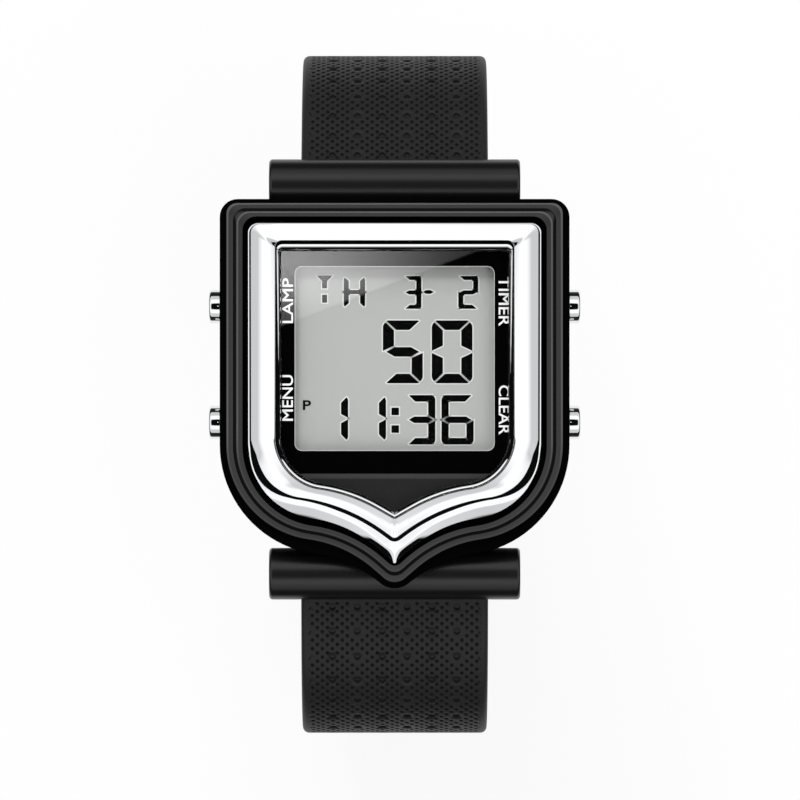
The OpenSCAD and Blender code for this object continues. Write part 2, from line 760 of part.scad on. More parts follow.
module chrome_bezel() {
    color("#e4e6e8") in_case() ring([
        [inset(chrome_edge, slip), chrome_z],
        [inset(chrome_edge, slip), chrome_z + chrome_h * 0.55],
        [crest, chrome_z + chrome_h],
        [blend(crest, slope, 0.4), chrome_z + chrome_h - 0.1],
        [blend(crest, slope, 0.8), chrome_z + chrome_h - 0.55],
        [slope, chrome_z + chrome_lip_h + 0.4],
        [inset(slope, 0.06), chrome_z + chrome_lip_h],
        [lip_edge, chrome_z + chrome_lip_h - 0.15],
        [lip_edge, chrome_z]
    ]);
}

module crystal() {
    color("#cfd6dc", 0.25) in_case() plate(crystal_edge, crystal_z, crystal_t);
}

module crystal_gasket() {
    color("#0c0c0d") in_case() difference() {
        plate(inset(slope, 2 * slip), seat_z, chrome_seat_h - slip);
        plate(crystal_edge, seat_z - 1, chrome_seat_h + 2);
    }
}

module view_window(z, t) {
    translate([0, view_y, z]) linear_extrude(t) rounded(view_w, view_h, view_corner_r);
}

module display_mask() {
    color("#050505") in_case() difference() {
        plate(crystal_edge, seat_z, film_t);
        view_window(seat_z - 1, 3);
        beyond(panel_y);
    }
}

module lower_dial_panel() {
    color("#2b2b2c") in_case() intersection() {
        plate(crystal_edge, seat_z, film_t);
        beyond(panel_y);
    }
}

module case_back() {
    color("#b9bcbf") in_case() difference() {
        plate(inset(rim, foot_in - 0.1), 0, body_z);
        beyond(body_end_y + 0.4);
        screw_spots() {
            translate([0, 0, -1]) cylinder(r = screw_r + 0.1, h = 4);
            translate([0, 0, -1]) cylinder(r = screw_head_r + 0.1, h = 1.7);
        }
    }
}

module back_gasket() {
    color("#1a1a1a") in_case() difference() {
        back_seal(seal_w);
        translate([-far, -far, body_z - 2 * far]) cube(2 * far);
    }
}

module case_back_screws() {
    color("#8f9295") in_case() screw_spots() difference() {
        union() {
            translate([0, 0, 0.1]) cylinder(r = screw_head_r, h = 0.6);
            translate([0, 0, 0.2]) cylinder(r = screw_r, h = screw_len);
        }
        for (a = [0, 90]) rotate(a) translate([-0.9, -0.2, -0.5]) cube([1.8, 0.4, 0.9]);
    }
}

// Buttons

module button_sleeves() {
    color("#c9ccd0") in_case() button_spots()
        tube(sleeve_r + sleeve_t - 0.01, sleeve_r, sleeve_x, wall_x);
}

module button_seals() {
    color("#151515") in_case() button_spots()
        tube(stem_r + 0.48, stem_r + 0.02, seal_x - 0.24, seal_x + 0.24);
}

module button(side, y) {
    color("#dcdfe2") at_button(side, y) {
        intersection() {
            translate([button_reach - 4, 0, 0]) rod(button_r, 8, button_edge_r);
            bar(button_r + 1, head_x, button_reach + 1);
        }
        difference() {
            bar(stem_r, stem_end_x, head_x + 0.5);
            tube(stem_r + 1, stem_r - 0.2, clip_x - clip_w, clip_x);
        }
    }
}

module button_clip(side, y) {
    color("#9a9da0") at_button(side, y)
        tube(clip_r, stem_r - 0.19, clip_x - clip_w + 0.01, clip_x - 0.01);
}

module button_spring(side, y) {
    color("#8a8d90") at_button(side, y) tube(1.6, 1.15, sleeve_x + 0.02, head_x - 0.02);
}

// Display

module lcd_sheet(w, h, z, t) {
    in_case() slab(w, h, t, view_y, z);
}

module lcd_front_polarizer() {
    color("#9fa8a2") lcd_sheet(glass_w - 0.4, rear_glass_h, polarizer_z, sheet_t);
}

module lcd_front_glass() {
    color("#c3cbc6", 0.6) lcd_sheet(glass_w, front_glass_h, front_glass_z, glass_t);
}

module lcd_rear_glass() {
    color("#c3cbc6", 0.6) lcd_sheet(glass_w, rear_glass_h, rear_glass_z, glass_t);
}

module lcd_reflector() {
    color("#b8bcb8") lcd_sheet(glass_w - 0.2, rear_glass_h - 0.2, reflector_z, sheet_t);
}

// One character with its lower left corner at the origin
module character(w, h, stroke, lit) {
    half = (h - stroke) / 2;
    middle = (w - stroke) / 2;
    bars = [
        [0, h - stroke, 1], [w - stroke, half + stroke, 0], [w - stroke, 0, 0], [0, 0, 1],
        [0, 0, 0], [0, half + stroke, 0], [0, half, 1],
        [middle, half + stroke, 0], [middle, 0, 0]
    ];
    trim = stroke * 0.15;
    for (i = lit) let (b = bars[i])
        if (b[2] == 1)
            translate([stroke * 0.6, b[1] + trim]) square([w - 1.2 * stroke, stroke - 2 * trim]);
        else
            translate([b[0] + trim, b[1] + (b[1] > 0 ? 0 : 0.6 * stroke)])
                square([stroke - 2 * trim, half - 0.6 * stroke + (b[1] > 0 ? 0 : trim)]);
}

module lcd_segments() {
    color("#101010") in_case() translate([-view_w / 2, view_y - view_h / 2, ink_z])
        linear_extrude(ink_t) {
            for (c = shown) translate([c[0] * view_w, c[1] * view_h])
                character(c[2] * view_w, c[3] * view_h, c[4] * view_w, c[5]);
            for (y = colon_y) translate([colon_x * view_w, y * view_h])
                square([colon_w * view_w, colon_w * view_w]);
        }
}

module light_guide() {
    color("#d8e2e6", 0.7) in_case() slab(view_w, view_h, guide_t, view_y, light_z);
}

module led_lamp() {
    color("#f0efe6") in_case()
        translate([-view_w / 2 - 1.1, view_y - 1.2, light_z]) cube([1, 2.4, guide_t]);
}

module zebra_spots() {
    for (s = [-1, 1])
        translate([0, view_y + s * (rear_glass_h + strip_w + fit) / 2, 0]) children();
}

module zebra_connectors() {
    color("#d98ba0") in_case() zebra_spots()
        slab(view_w - 4 * fit, zebra_w, front_glass_z - board_top_z, 0, board_top_z);
}

// Module

module module_frame() {
    top_z = seat_z - front_wall_t - slip;
    board_edge = inset(module_edge, module_wall);
    color("#26282a") in_case() difference() {
        plate(module_edge, module_z, top_z - module_z);
        beyond(room_end_y + module_gap);
        slab(glass_w + 2 * fit, front_glass_h + 2 * fit, 9, view_y, reflector_z);
        slab(view_w + 2 * fit, view_h + 2 * fit, 9, view_y, board_top_z - 1);
        zebra_spots() slab(view_w, zebra_w + 2 * fit, 3, 0, board_top_z - 1);
        translate([-view_w / 2 - 1.2, view_y - 1.3, board_top_z - 1]) cube([2, 2.6, 3]);
        difference() {
            plate(board_edge, module_z - 1, board_top_z - module_z + 1);
            beyond(room_end_y + module_gap + module_wall);
        }
        module_reliefs();
        module_screw_spots() cylinder(r = module_screw_r + 0.02, h = screw_grip + fit);
    }
}

// What the buttons and the screw bosses take away from the module's parts
module module_reliefs() {
    screw_spots() cylinder(r = boss_r + module_gap, h = 9);
    for (s = [-1, 1]) translate([s * (screw_high_x + 2), screw_high_y + 2, 4.5])
        cube([4, 4, 9], center = true);
    button_spots() {
        bar(guide_r + module_gap, guide_x - 0.2, wall_x);
        bar(clip_r + 0.3, contact_x - contact_t, wall_x);
    }
}

module module_screw_spots() {
    for (s = [-1, 1], y = module_screw_y) translate([s * module_screw_x, y, board_z]) children();
}

module circuit_board() {
    edge = inset(module_edge, module_wall + fit);
    color("#1f5a35") in_case() difference() {
        plate(edge, board_z, board_t);
        beyond(room_end_y + module_gap + module_wall + fit);
        module_reliefs();
        module_screw_spots() translate([0, 0, -1]) cylinder(r = module_screw_r + fit, h = 4);
    }
}

module under_board(t) {
    in_case() translate([0, 0, board_z - t]) children();
}

module controller_chip() {
    color("#0e0e0f") under_board(1.1) slab(chip_w, chip_h, 1.1, chip_y, 0);
}

module quartz_crystal() {
    color("#c8cbce") under_board(2 * can_r) translate([coil_x - 1, can_y, can_r])
        bar(can_r, -can_len / 2, can_len / 2);
}

module smd_components() {
    color("#a8895c") under_board(small_w / 2) {
        for (s = [-1, 1], row = [0, 1])
            small_component(s * (chip_w / 2 + small_w), chip_y + row * chip_h / 3);
        small_component(0, chip_y + chip_h / 2 + small_w);
    }
}

module small_component(x, y) {
    translate([x - small_w / 2, y - 0.3 * small_w, 0]) cube([small_w, 0.6 * small_w, small_w / 2]);
}

module boost_coil() {
    color("#b46a34") under_board(1.8) translate([coil_x, coil_y, 0]) cylinder(r = coil_r, h = 1.8);
}

module battery() {
    color("#cdd0d2") in_case() translate([0, battery_y, battery_z]) {
        cylinder(r = battery_r - 1.2, h = battery_t);
        translate([0, 0, 0.3]) cylinder(r = battery_r, h = battery_t - 0.3);
    }
}

module battery_clip() {
    leg_x = battery_r + 0.3;
    color("#b8bbbe") in_case() translate([0, battery_y, 0]) difference() {
        slab(2 * leg_x + 2 * clip_t, clip_band, board_z - battery_z + clip_t, 0, battery_z - clip_t);
        slab(2 * leg_x, clip_band + 1, board_z, 0, battery_z);
    }
}

module battery_contact() {
    top_z = battery_z + battery_t;
    color("#c9a64a") in_case() slab(0.6 * battery_r, 0.2 * battery_r, board_z - top_z, battery_y, top_z);
}

module switch_contacts() {
    color("#c9a64a") in_case() button_spots()
        translate([contact_x - contact_t, -1.2 * stem_r, -1.1 * stem_r])
            cube([contact_t, 2.4 * stem_r, 2.2 * stem_r]);
}

module module_screws() {
    color("#8f9295") in_case() module_screw_spots() {
        translate([0, 0, -0.8 * module_screw_r])
            cylinder(r = 2.2 * module_screw_r, h = 0.8 * module_screw_r);
        translate([0, 0, -0.2]) cylinder(r = module_screw_r, h = screw_grip);
    }
}

module at_piezo() {
    translate([piezo_x, piezo_y, body_z]) children();
}

module piezo_disc() {
    color("#c8a860") in_case() at_piezo() cylinder(r = piezo_r, h = piezo_t);
}

module piezo_spring() {
    color("#8a8d90") in_case() at_piezo() translate([0, 0, piezo_t]) difference() {
        cylinder(r = 0.8, h = board_z - body_z - piezo_t);
        translate([0, 0, -1]) cylinder(r = 0.5, h = 9);
    }
}

// Spring bars

module at_upper_pivot() {
    translate([0, upper_pivot_y, pivot_z]) children();
}

module at_lower_pivot() {
    translate([0, -lower_pivot_y, pivot_z]) children();
}

module both_pivots() {
    at_upper_pivot() children();
    at_lower_pivot() children();
}

module spring_bar_tubes() {
    color("#b4b7ba") both_pivots() difference() {
        bar(bar_r, -tube_len / 2, tube_len / 2);
        bar(bar_r - bar_wall, 0.3 - tube_len / 2, tube_len / 2 - 0.3);
        bar(bar_pin_r + 0.05, -tube_len, tube_len);
    }
}

module bar_pin() {
    start = tube_len / 2 - 0.32 - bar_shoulder;
    bar(bar_pin_r, start, tube_len / 2 + bar_pin_out);
    bar(bar_r - bar_wall - 0.05, start, start + bar_shoulder);
}

module spring_bar_springs() {
    end = tube_len / 2 - 0.36 - bar_shoulder;
    color("#8a8d90") both_pivots() tube(bar_r - bar_wall - 0.06, 0.28, -end, end);
}

// Strap

module upper_strap() {
    bar_pose = along(upper_start, upper_path, upper_len);
    color("#1b1b1c") difference() {
        union() {
            strap_band(upper_start, upper_path, upper_taper);
            at_upper_pivot() bar(knuckle_r, -strap_w / 2, strap_w / 2);
            at_pose(bar_pose) bar(buckle_knuckle_r, -strap_end_w / 2, strap_end_w / 2);
        }
        at_upper_pivot() bar(bore_r, -strap_w, strap_w);
        at_pose(bar_pose) {
            bar(buckle_bar_r + 0.07, -strap_w, strap_w);
            translate([-prong_slot_w / 2, -prong_slot_len, -5]) cube([prong_slot_w, 10, 10]);
        }
        keeper_groove();
    }
}

module lower_strap() {
    color("#1b1b1c") difference() {
        union() {
            mirror([0, 1, 0]) strap_band(lower_start, lower_path, lower_taper);
            at_lower_pivot() bar(knuckle_r, -strap_w / 2, strap_w / 2);
        }
        at_lower_pivot() bar(bore_r, -strap_w, strap_w);
        mirror([0, 1, 0]) {
            for (i = [0 : hole_count - 1])
                at_pose(along(lower_start, lower_path, lower_len - hole_start - i * hole_pitch))
                    translate([0, 0, -strap_t]) cylinder(r = hole_r, h = 2 * strap_t);
            at_pose(along(lower_start, lower_path, lower_len)) tip_cut();
        }
    }
}

// What rounds the corners off the tip of the tail
module tip_cut() {
    for (s = [-1, 1]) translate([s * (strap_end_w / 2 - tip_r), -tip_r, -strap_t])
        linear_extrude(2 * strap_t) difference() {
            translate([s > 0 ? 0 : -tip_r - 1, 0]) square([tip_r + 1, tip_r + 1]);
            circle(tip_r);
        }
}

// Puts a child at a keeper's place: +Y along the strap, +Z out of its outer face
module at_keeper(d) {
    at_pose(along(upper_start, upper_path, d)) children();
}

// A keeper's rounded outline grown round the strap by gap, or its window
module keeper_shape(gap, wall) {
    height = 2 * strap_t + keeper_spare + gap;
    translate([0, height / 2 - strap_t / 2 - gap])
        rounded(strap_end_w + 2 * gap + 2 * wall, height + 2 * wall, keeper_edge_r + wall);
}

module keeper(d, gap) {
    at_keeper(d) rotate([90, 0, 0]) translate([0, 0, -keeper_len / 2])
        linear_extrude(keeper_len) difference() {
            keeper_shape(gap, keeper_wall);
            keeper_shape(gap, 0);
        }
}

// The notch round the strap that holds the fixed keeper
module keeper_groove() {
    length = keeper_len + 2 * slip;
    at_keeper(fixed_keeper_at) rotate([90, 0, 0]) translate([0, 0, -length / 2])
        linear_extrude(length) difference() {
            square([2 * strap_w, 4 * strap_t], center = true);
            translate([0, strap_t]) rounded(strap_end_w - 2 * keeper_notch,
                3 * strap_t - 2 * keeper_notch, keeper_edge_r);
        }
}

module fixed_keeper() {
    color("#1b1b1c") keeper(fixed_keeper_at, slip - keeper_notch);
}

module free_keeper() {
    color("#1b1b1c") keeper(free_keeper_at, keeper_gap);
}

// Buckle, hanging down from its bar; +Y is its outer side

module at_buckle() {
    translate([0, buckle_y, buckle_z]) children();
}

module buckle_bar() {
    color("#b4b7ba") at_buckle() bar(buckle_bar_r, 0.3 - frame_w / 2, frame_w / 2 - 0.3);
}

module buckle_frame() {
    top = buckle_bar_r + 1;
    window_h = frame_len - frame_front + top + 1;
    color("#c2c5c8") at_buckle() difference() {
        translate([0, frame_t / 2, (top - frame_len) / 2]) rotate([90, 0, 0])
            linear_extrude(frame_t) rounded(frame_w, frame_len + top, frame_corner_r);
        translate([-frame_inner_w / 2, -5, frame_front - frame_len])
            cube([frame_inner_w, 10, window_h]);
        bar(buckle_bar_r + 0.01, 0.29 - frame_w / 2, frame_w / 2 - 0.29);
        translate([-prong_w / 2 - 0.3, prong_rise - notch_gap, -frame_len - 1])
            cube([prong_w + 0.6, 5, frame_front + 2]);
    }
}

module buckle_prong() {
    color("#c2c5c8") at_buckle() difference() {
        union() {
            bar(buckle_bar_r + 0.8, -prong_w / 2, prong_w / 2);
            translate([-prong_w / 2, prong_rise, -frame_len + 0.2])
                cube([prong_w, prong_t, frame_len - 0.2]);
        }
        bar(buckle_bar_r + 0.07, -prong_w, prong_w);
    }
}

case_body();
front_bezel();
chrome_bezel();
crystal();
crystal_gasket();
display_mask();
lower_dial_panel();
lcd_front_polarizer();
lcd_front_glass();
lcd_segments();
lcd_rear_glass();
lcd_reflector();
light_guide();
led_lamp();
zebra_connectors();
module_frame();
circuit_board();
controller_chip();
quartz_crystal();
smd_components();
boost_coil();
battery();
battery_clip();
battery_contact();
switch_contacts();
module_screws();
piezo_disc();
piezo_spring();
case_back();
back_gasket();
case_back_screws();
button_sleeves();
button_seals();
button(-1, button_high_y);  // light_button
button(-1, button_low_y);  // mode_button
button(1, button_high_y);  // start_button
button(1, button_low_y);  // reset_button
button_clip(-1, button_high_y);  // light_button_clip
button_clip(-1, button_low_y);  // mode_button_clip
button_clip(1, button_high_y);  // start_button_clip
button_clip(1, button_low_y);  // reset_button_clip
button_spring(-1, button_high_y);  // light_button_spring
button_spring(-1, button_low_y);  // mode_button_spring
button_spring(1, button_high_y);  // start_button_spring
button_spring(1, button_low_y);  // reset_button_spring
spring_bar_tubes();
spring_bar_springs();
at_upper_pivot() mirror([1, 0, 0]) bar_pin();  // upper_left_bar_pin
at_upper_pivot() bar_pin();  // upper_right_bar_pin
at_lower_pivot() mirror([1, 0, 0]) bar_pin();  // lower_left_bar_pin
at_lower_pivot() bar_pin();  // lower_right_bar_pin
upper_strap();
lower_strap();
fixed_keeper();
free_keeper();
buckle_bar();
buckle_frame();
buckle_prong();
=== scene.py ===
"""A digital sports watch with a shield-shaped case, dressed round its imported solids.

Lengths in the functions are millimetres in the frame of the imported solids; Blender's objects are
in metres.
"""
import math
from typing import NamedTuple

import bmesh
import bpy
import numpy as np
from mathutils import Matrix, Vector


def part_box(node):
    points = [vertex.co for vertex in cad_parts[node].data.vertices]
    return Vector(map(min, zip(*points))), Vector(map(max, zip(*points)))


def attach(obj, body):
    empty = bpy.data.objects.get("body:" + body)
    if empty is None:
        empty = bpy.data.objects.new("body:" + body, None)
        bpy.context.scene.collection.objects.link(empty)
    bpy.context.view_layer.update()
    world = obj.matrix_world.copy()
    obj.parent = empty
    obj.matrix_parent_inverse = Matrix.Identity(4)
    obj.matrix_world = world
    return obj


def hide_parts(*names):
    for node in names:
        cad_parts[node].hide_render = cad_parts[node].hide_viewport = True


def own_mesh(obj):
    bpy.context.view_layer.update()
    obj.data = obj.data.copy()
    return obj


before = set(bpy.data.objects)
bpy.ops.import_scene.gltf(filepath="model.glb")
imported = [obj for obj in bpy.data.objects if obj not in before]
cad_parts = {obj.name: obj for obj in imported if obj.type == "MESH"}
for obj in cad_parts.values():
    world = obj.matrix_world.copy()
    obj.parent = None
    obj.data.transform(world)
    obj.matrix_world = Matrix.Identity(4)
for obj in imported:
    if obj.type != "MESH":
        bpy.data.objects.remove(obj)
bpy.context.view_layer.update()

bl_info = {
    "name": "Sports watch",
    "version": (1, 0, 0),
    "blender": (4, 5, 0),
    "location": "3D View > Sidebar > Watch",
    "description": "Builds the pieces, finishes and stage of a digital sports watch",
    "category": "Object",
}

MM = 0.001


def low(node):
    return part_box(node)[0] / MM


def high(node):
    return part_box(node)[1] / MM


def middle(node, axis):
    return (getattr(low(node), axis) + getattr(high(node), axis)) / 2


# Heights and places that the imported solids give, in mm
BACK_Z = low("case_back").z
SEAT_Z = low("front_bezel").z
CHROME_Z = low("chrome_bezel").z
BODY_Z = high("case_back").z
FILM_TOP_Z = high("display_mask").z
INK_Z = (low("lcd_segments").z, high("lcd_segments").z)
PIVOT_Z = middle("spring_bar_tubes", "z")
BAR_R = (high("spring_bar_tubes").z - low("spring_bar_tubes").z) / 2
UPPER_PIVOT_Y = high("spring_bar_tubes").y - BAR_R
LOWER_PIVOT_Y = -(low("spring_bar_tubes").y + BAR_R)
BUCKLE_Y = middle("buckle_bar", "y")
BUCKLE_Z = middle("buckle_bar", "z")
REACH = high("upper_strap").y
BUTTON_Z = middle("start_button", "z")
BUTTON_HIGH_Y = middle("start_button", "y")
BUTTON_LOW_Y = middle("reset_button", "y")


# Settings

def length(name, description, default, low_end, high_end):
    return bpy.props.FloatProperty(
        name=name, description=description, default=default * MM,
        min=low_end * MM, max=high_end * MM, unit='LENGTH', precision=5,
    )


def colour(name, description, default):
    return bpy.props.FloatVectorProperty(
        name=name, description=description, default=default, size=3,
        min=0.0, max=1.0, subtype='COLOR',
    )


class WatchSizes(bpy.types.PropertyGroup):
    """Sizes of the dressed pieces that the solids leave open"""
    small_dimple: length("Small dimple", "Depth of the small dimples of the strap", 0.2, 0.05, 0.4)
    large_dimple: length("Large dimple", "Depth of the large dimples of the strap", 0.36, 0.1, 0.6)
    label_height: length("Label height", "Height of the labels beside the display", 1.2, 0.8, 1.6)
    halo: length("Halo", "Width of the pale edge round the dark characters", 0.13, 0.0, 0.3)
    crystal_bevel: length("Crystal bevel", "Width of the crystal's polished edge", 0.05, 0.02, 0.3)
    back_bevel: length("Case back bevel", "Width of the case back's edge bevel", 0.3, 0.1, 0.5)
    spring_wire: length("Spring wire", "Thickness of the button springs' wire", 0.3, 0.2, 0.4)


class WatchColours(bpy.types.PropertyGroup):
    """Colours of the watch"""
    case: colour("Case", "Moulded case and lug hoods", (0.0035, 0.0035, 0.0038))
    bezel: colour("Bezel", "Stepped front bezel", (0.004, 0.004, 0.0043))
    # Painted highlight: the light lines along the edges of the bezel's terraces are a lighter colour
    # standing in for light caught there
    bezel_edge_highlight: colour("Bezel edges", "Worn light edges of the bezel's terraces", (0.055, 0.055, 0.057))
    chrome: colour("Chrome", "Bright ring and buttons", (0.86, 0.87, 0.88))
    strap: colour("Strap", "Rubber of the strap and keepers", (0.0115, 0.0115, 0.012))
    pit: colour("Dimples", "Shaded bottoms of the dimples", (0.002, 0.002, 0.002))
    mask: colour("Mask", "Print round the display", (0.001, 0.001, 0.001))
    panel: colour("Panel", "Panel in the point of the dial", (0.021, 0.021, 0.0215))
    ground: colour("Display ground", "Grey of the display", (0.44, 0.445, 0.44))
    halo: colour("Display halo", "Pale edge round the dark characters", (0.73, 0.73, 0.73))
    ink: colour("Display ink", "Dark segments", (0.003, 0.003, 0.003))
    label: colour("Labels", "Words beside the display", (0.95, 0.95, 0.95))
    back: colour("Case back", "Brushed steel of the back", (0.56, 0.57, 0.58))
    buckle: colour("Buckle", "Polished steel of the buckle", (0.62, 0.63, 0.64))


# Modelling helpers

# Distance in metres below which points are merged
MERGE_REACH = 2e-7
# How far a cutter reaches past the face that it cuts, in mm
PAST = 1.0


def deselect():
    if bpy.context.object and bpy.context.object.mode != 'OBJECT':
        bpy.ops.object.mode_set(mode='OBJECT')
    bpy.ops.object.select_all(action='DESELECT')


def activate(*pieces):
    deselect()
    for piece in pieces:
        piece.select_set(True)
    bpy.context.view_layer.objects.active = pieces[0]


def named(name):
    piece = bpy.context.object
    piece.name = piece.data.name = name
    return piece


def put_points(piece, points):
    """Places every vertex of a piece, in mm."""
    flat = (np.asarray(points, float) * MM).astype(np.float32).ravel()
    piece.data.vertices.foreach_set("co", flat)
    piece.data.update()


def put_ring(piece, ring, number):
    """Places the selected loop of an edited piece on a ring of points, in mm."""
    mesh = bmesh.from_edit_mesh(piece.data)
    spot = mesh.verts.layers.int["spot"]
    order = mesh.verts.layers.int["ring"]
    for vertex in mesh.verts:
        if vertex.select:
            vertex.co = Vector(ring[vertex[spot]]) * MM
            vertex[order] = number
    bmesh.update_edit_mesh(piece.data)


def loft(name, rings, closed=False):
    """A loop extruded from ring to ring; its ends are filled, or joined where it is closed."""
    deselect()
    bpy.ops.mesh.primitive_circle_add(
        vertices=len(rings[0]), radius=MM, fill_type='NOTHING' if closed else 'NGON')
    piece = named(name)
    spot = piece.data.attributes.new("spot", 'INT', 'POINT')
    spot.data.foreach_set("value", list(range(len(rings[0]))))
    piece.data.attributes.new("ring", 'INT', 'POINT')
    bpy.ops.object.mode_set(mode='EDIT')
    bpy.ops.mesh.select_mode(type='EDGE')
    bpy.ops.mesh.select_all(action='SELECT')
    put_ring(piece, rings[0], 0)
    for number, ring in enumerate(rings[1:], 1):
        bpy.ops.mesh.extrude_edges_move()
        put_ring(piece, ring, number)
    if closed:
        bpy.ops.mesh.extrude_edges_move()
        put_ring(piece, rings[0], 0)
    else:
        bpy.ops.mesh.edge_face_add()
    tidy_mesh()
    return piece


def paint_bands(piece, name, bands):
    """Gives the faces between the first and last ring of each band one more finish."""
    piece.data.materials.append(FINISHES[name])
    order = piece.data.attributes["ring"].data
    for face in piece.data.polygons:
        numbers = [order[i].value for i in face.vertices]
        if any(first <= min(numbers) and max(numbers) <= last for first, last in bands):
            face.material_index = len(piece.data.materials) - 1


def crease(piece, rings):
    """Keeps the shading apart on both sides of some rings."""
    order = piece.data.attributes["ring"].data
    for edge in piece.data.edges:
        numbers = {order[i].value for i in edge.vertices}
        if len(numbers) == 1 and numbers.pop() in rings:
            edge.use_edge_sharp = True


def tidy_mesh():
    """Merges doubles and turns every face outward, then leaves edit mode."""
    bpy.ops.mesh.select_mode(type='VERT')
    bpy.ops.mesh.select_all(action='SELECT')
    bpy.ops.mesh.remove_doubles(threshold=MERGE_REACH)
    bpy.ops.mesh.normals_make_consistent(inside=False)
    bpy.ops.object.mode_set(mode='OBJECT')


def smooth(piece, angle=32):
    activate(piece)
    bpy.ops.object.shade_smooth_by_angle(angle=math.radians(angle))
    return piece


def apply_modifier(piece, kind, **values):
    activate(piece)
    modifier = piece.modifiers.new(kind.title(), kind)
    for key, value in values.items():
        setattr(modifier, key, value)
    bpy.ops.object.modifier_apply(modifier=modifier.name)
    return piece


def cut(piece, *cutters):
    """Takes the cutters out of a piece and removes them."""
    for cutter in cutters:
        apply_modifier(piece, 'BOOLEAN', operation='DIFFERENCE', object=cutter, solver='EXACT')
        bpy.data.objects.remove(cutter, do_unlink=True)
    return piece


def join(name, *pieces):
    activate(*pieces)
    if len(pieces) > 1:
        bpy.ops.object.join()
    return named(name)


def place(piece, matrix):
    """Moves a piece's mesh by a matrix whose lengths are in mm."""
    scaled = matrix.copy()
    scaled.translation = matrix.translation * MM
    piece.data.transform(scaled)
    piece.data.update()
    return piece


def move(x=0.0, y=0.0, z=0.0):
    return Matrix.Translation(Vector((x, y, z)))


def turn(degrees, axis):
    return Matrix.Rotation(math.radians(degrees), 4, axis)


def sided_copy(master, name, side, y, z):
    """A copy with its own mesh of a piece made along +X, put at its side and place."""
    piece = master.copy()
    piece.data = master.data.copy()
    piece.name = piece.data.name = name
    bpy.context.scene.collection.objects.link(piece)
    flip = turn(180, 'Z') if side < 0 else Matrix.Identity(4)
    return place(piece, move(0, y, z) @ flip)


def circle(r, count, along=0.0, axis='X', centre=(0.0, 0.0, 0.0)):
    """A ring of points of radius r round an axis."""
    order = {'X': (2, 0, 1), 'Y': (1, 2, 0), 'Z': (0, 1, 2)}[axis]
    points = []
    for i in range(count):
        t = 2 * math.pi * i / count
        local = (r * math.cos(t), r * math.sin(t), along)
        points.append(tuple(centre[k] + local[order[k]] for k in range(3)))
    return points


def turned(name, profile, count=48, axis='X', centre=(0.0, 0.0, 0.0), closed=False):
    """A turned piece whose profile is a list of (distance along the axis, radius)."""
    rings = [circle(r, count, a, axis, centre) for a, r in profile]
    return loft(name, rings, closed)


def arc(x, y, r, start, end, steps):
    """Flat points of an arc, both ends too, between two angles in degrees."""
    angles = [math.radians(start + (end - start) * k / steps) for k in range(steps + 1)]
    return [(x + r * math.cos(a), y + r * math.sin(a)) for a in angles]


def rounded_outline(w, h, r, steps=6):
    """A rectangle with rounded corners round the origin."""
    x, y = w / 2 - r, h / 2 - r
    return (arc(x, y, r, 0, 90, steps) + arc(-x, y, r, 90, 180, steps)
            + arc(-x, -y, r, 180, 270, steps) + arc(x, -y, r, 270, 360, steps))


def shifted(points, x, y):
    """Flat points moved across and up."""
    return [(x + px, y + py) for px, py in points]


# Outlines of the shield

class Shield(NamedTuple):
    """An outline: its sizes and radii in mm, and the slope of its edges at the point in degrees"""
    half_w: float
    top: float
    corner_r: float
    cheek_y: float
    cheek_r: float
    flank_r: float
    slope: float
    point_r: float


RIM = Shield(19.5, 21.63, 2.0, -5.78, 12.28, 14.58, 40.0, 2.5)
LAND = Shield(18.72, 21.16, 1.15, -5.78, 10.6, 14.03, 41.0, 1.75)
WELL = Shield(16.87, 19.59, 1.5, -5.78, 9.05, 14.89, 41.1, 0.93)
CHROME_EDGE = Shield(16.33, 18.97, 1.1, -5.78, 8.24, 14.18, 42.8, 0.25)
CREST = Shield(16.1, 18.73, 1.0, -5.18, 6.65, 20.29, 36.5, 0.7)
SLOPE = Shield(13.3, 16.97, 0.8, -4.85, 5.84, 17.46, 29.6, 0.3)
BACK_FIELD = Shield(11.0, 12.5, 3.0, -5.78, 9.5, 14.0, 36.0, 2.0)
# Degrees that the arc of a cheek turns
CHEEK_SWEEP = 82.0
# Smallest radii that an inset leaves
MIN_CORNER_R, MIN_POINT_R = 0.2, 0.15
# Clearance between neighbouring rings
RING_GAP = 0.03
# Steps in each stretch of half an outline
STEPS = {"point": 6, "edge": 8, "flank": 14, "cheek": 20, "corner": 8}
# Half widths of the crest's flat band, inward and outward, by place along half an outline: the
# point starts at 0, the flank at 14, the cheek at 28, the corner at 49 and the top at 57
CREST_INWARD = ((0, 0.14), (24, 0.14), (28, 0.14), (30.9, 0.12), (33.1, 0.13), (35.8, 0.16),
                (38.2, 0.25), (40.4, 0.375), (44.3, 0.52), (46, 0.35), (48, 0.16), (49, 0.13),
                (53, 0.06), (57, 0.01))
CREST_OUTWARD = ((0, 0.3), (22, 0.3), (28, 0.15), (30.7, 0.2), (32.6, 0.35), (34.6, 0.48),
                 (37, 0.55), (39.5, 0.485), (41.9, 0.3), (45.8, 0.02), (48, 0.03), (49, 0.07),
                 (53, 0.04), (57, 0.01))
# Steps in the table of a bank's drops
TILT_STEPS = 240


def inset(o, d):
    return Shield(o.half_w - d, o.top - d, max(MIN_CORNER_R, o.corner_r - d), o.cheek_y,
                  o.cheek_r - d, o.flank_r + d, o.slope, max(MIN_POINT_R, o.point_r - d))


def mix(a, b, share):
    return Shield(*(p + (q - p) * share for p, q in zip(a, b)))


def lowered(o, drop):
    """The outline with its top edge lower."""
    return o._replace(top=o.top - drop)


LIP_EDGE = lowered(inset(SLOPE, 0.55), 0.52)
LIP_OUTER = lowered(inset(SLOPE, 0.12), 0.3)
CRYSTAL_EDGE = inset(LIP_EDGE, RING_GAP)


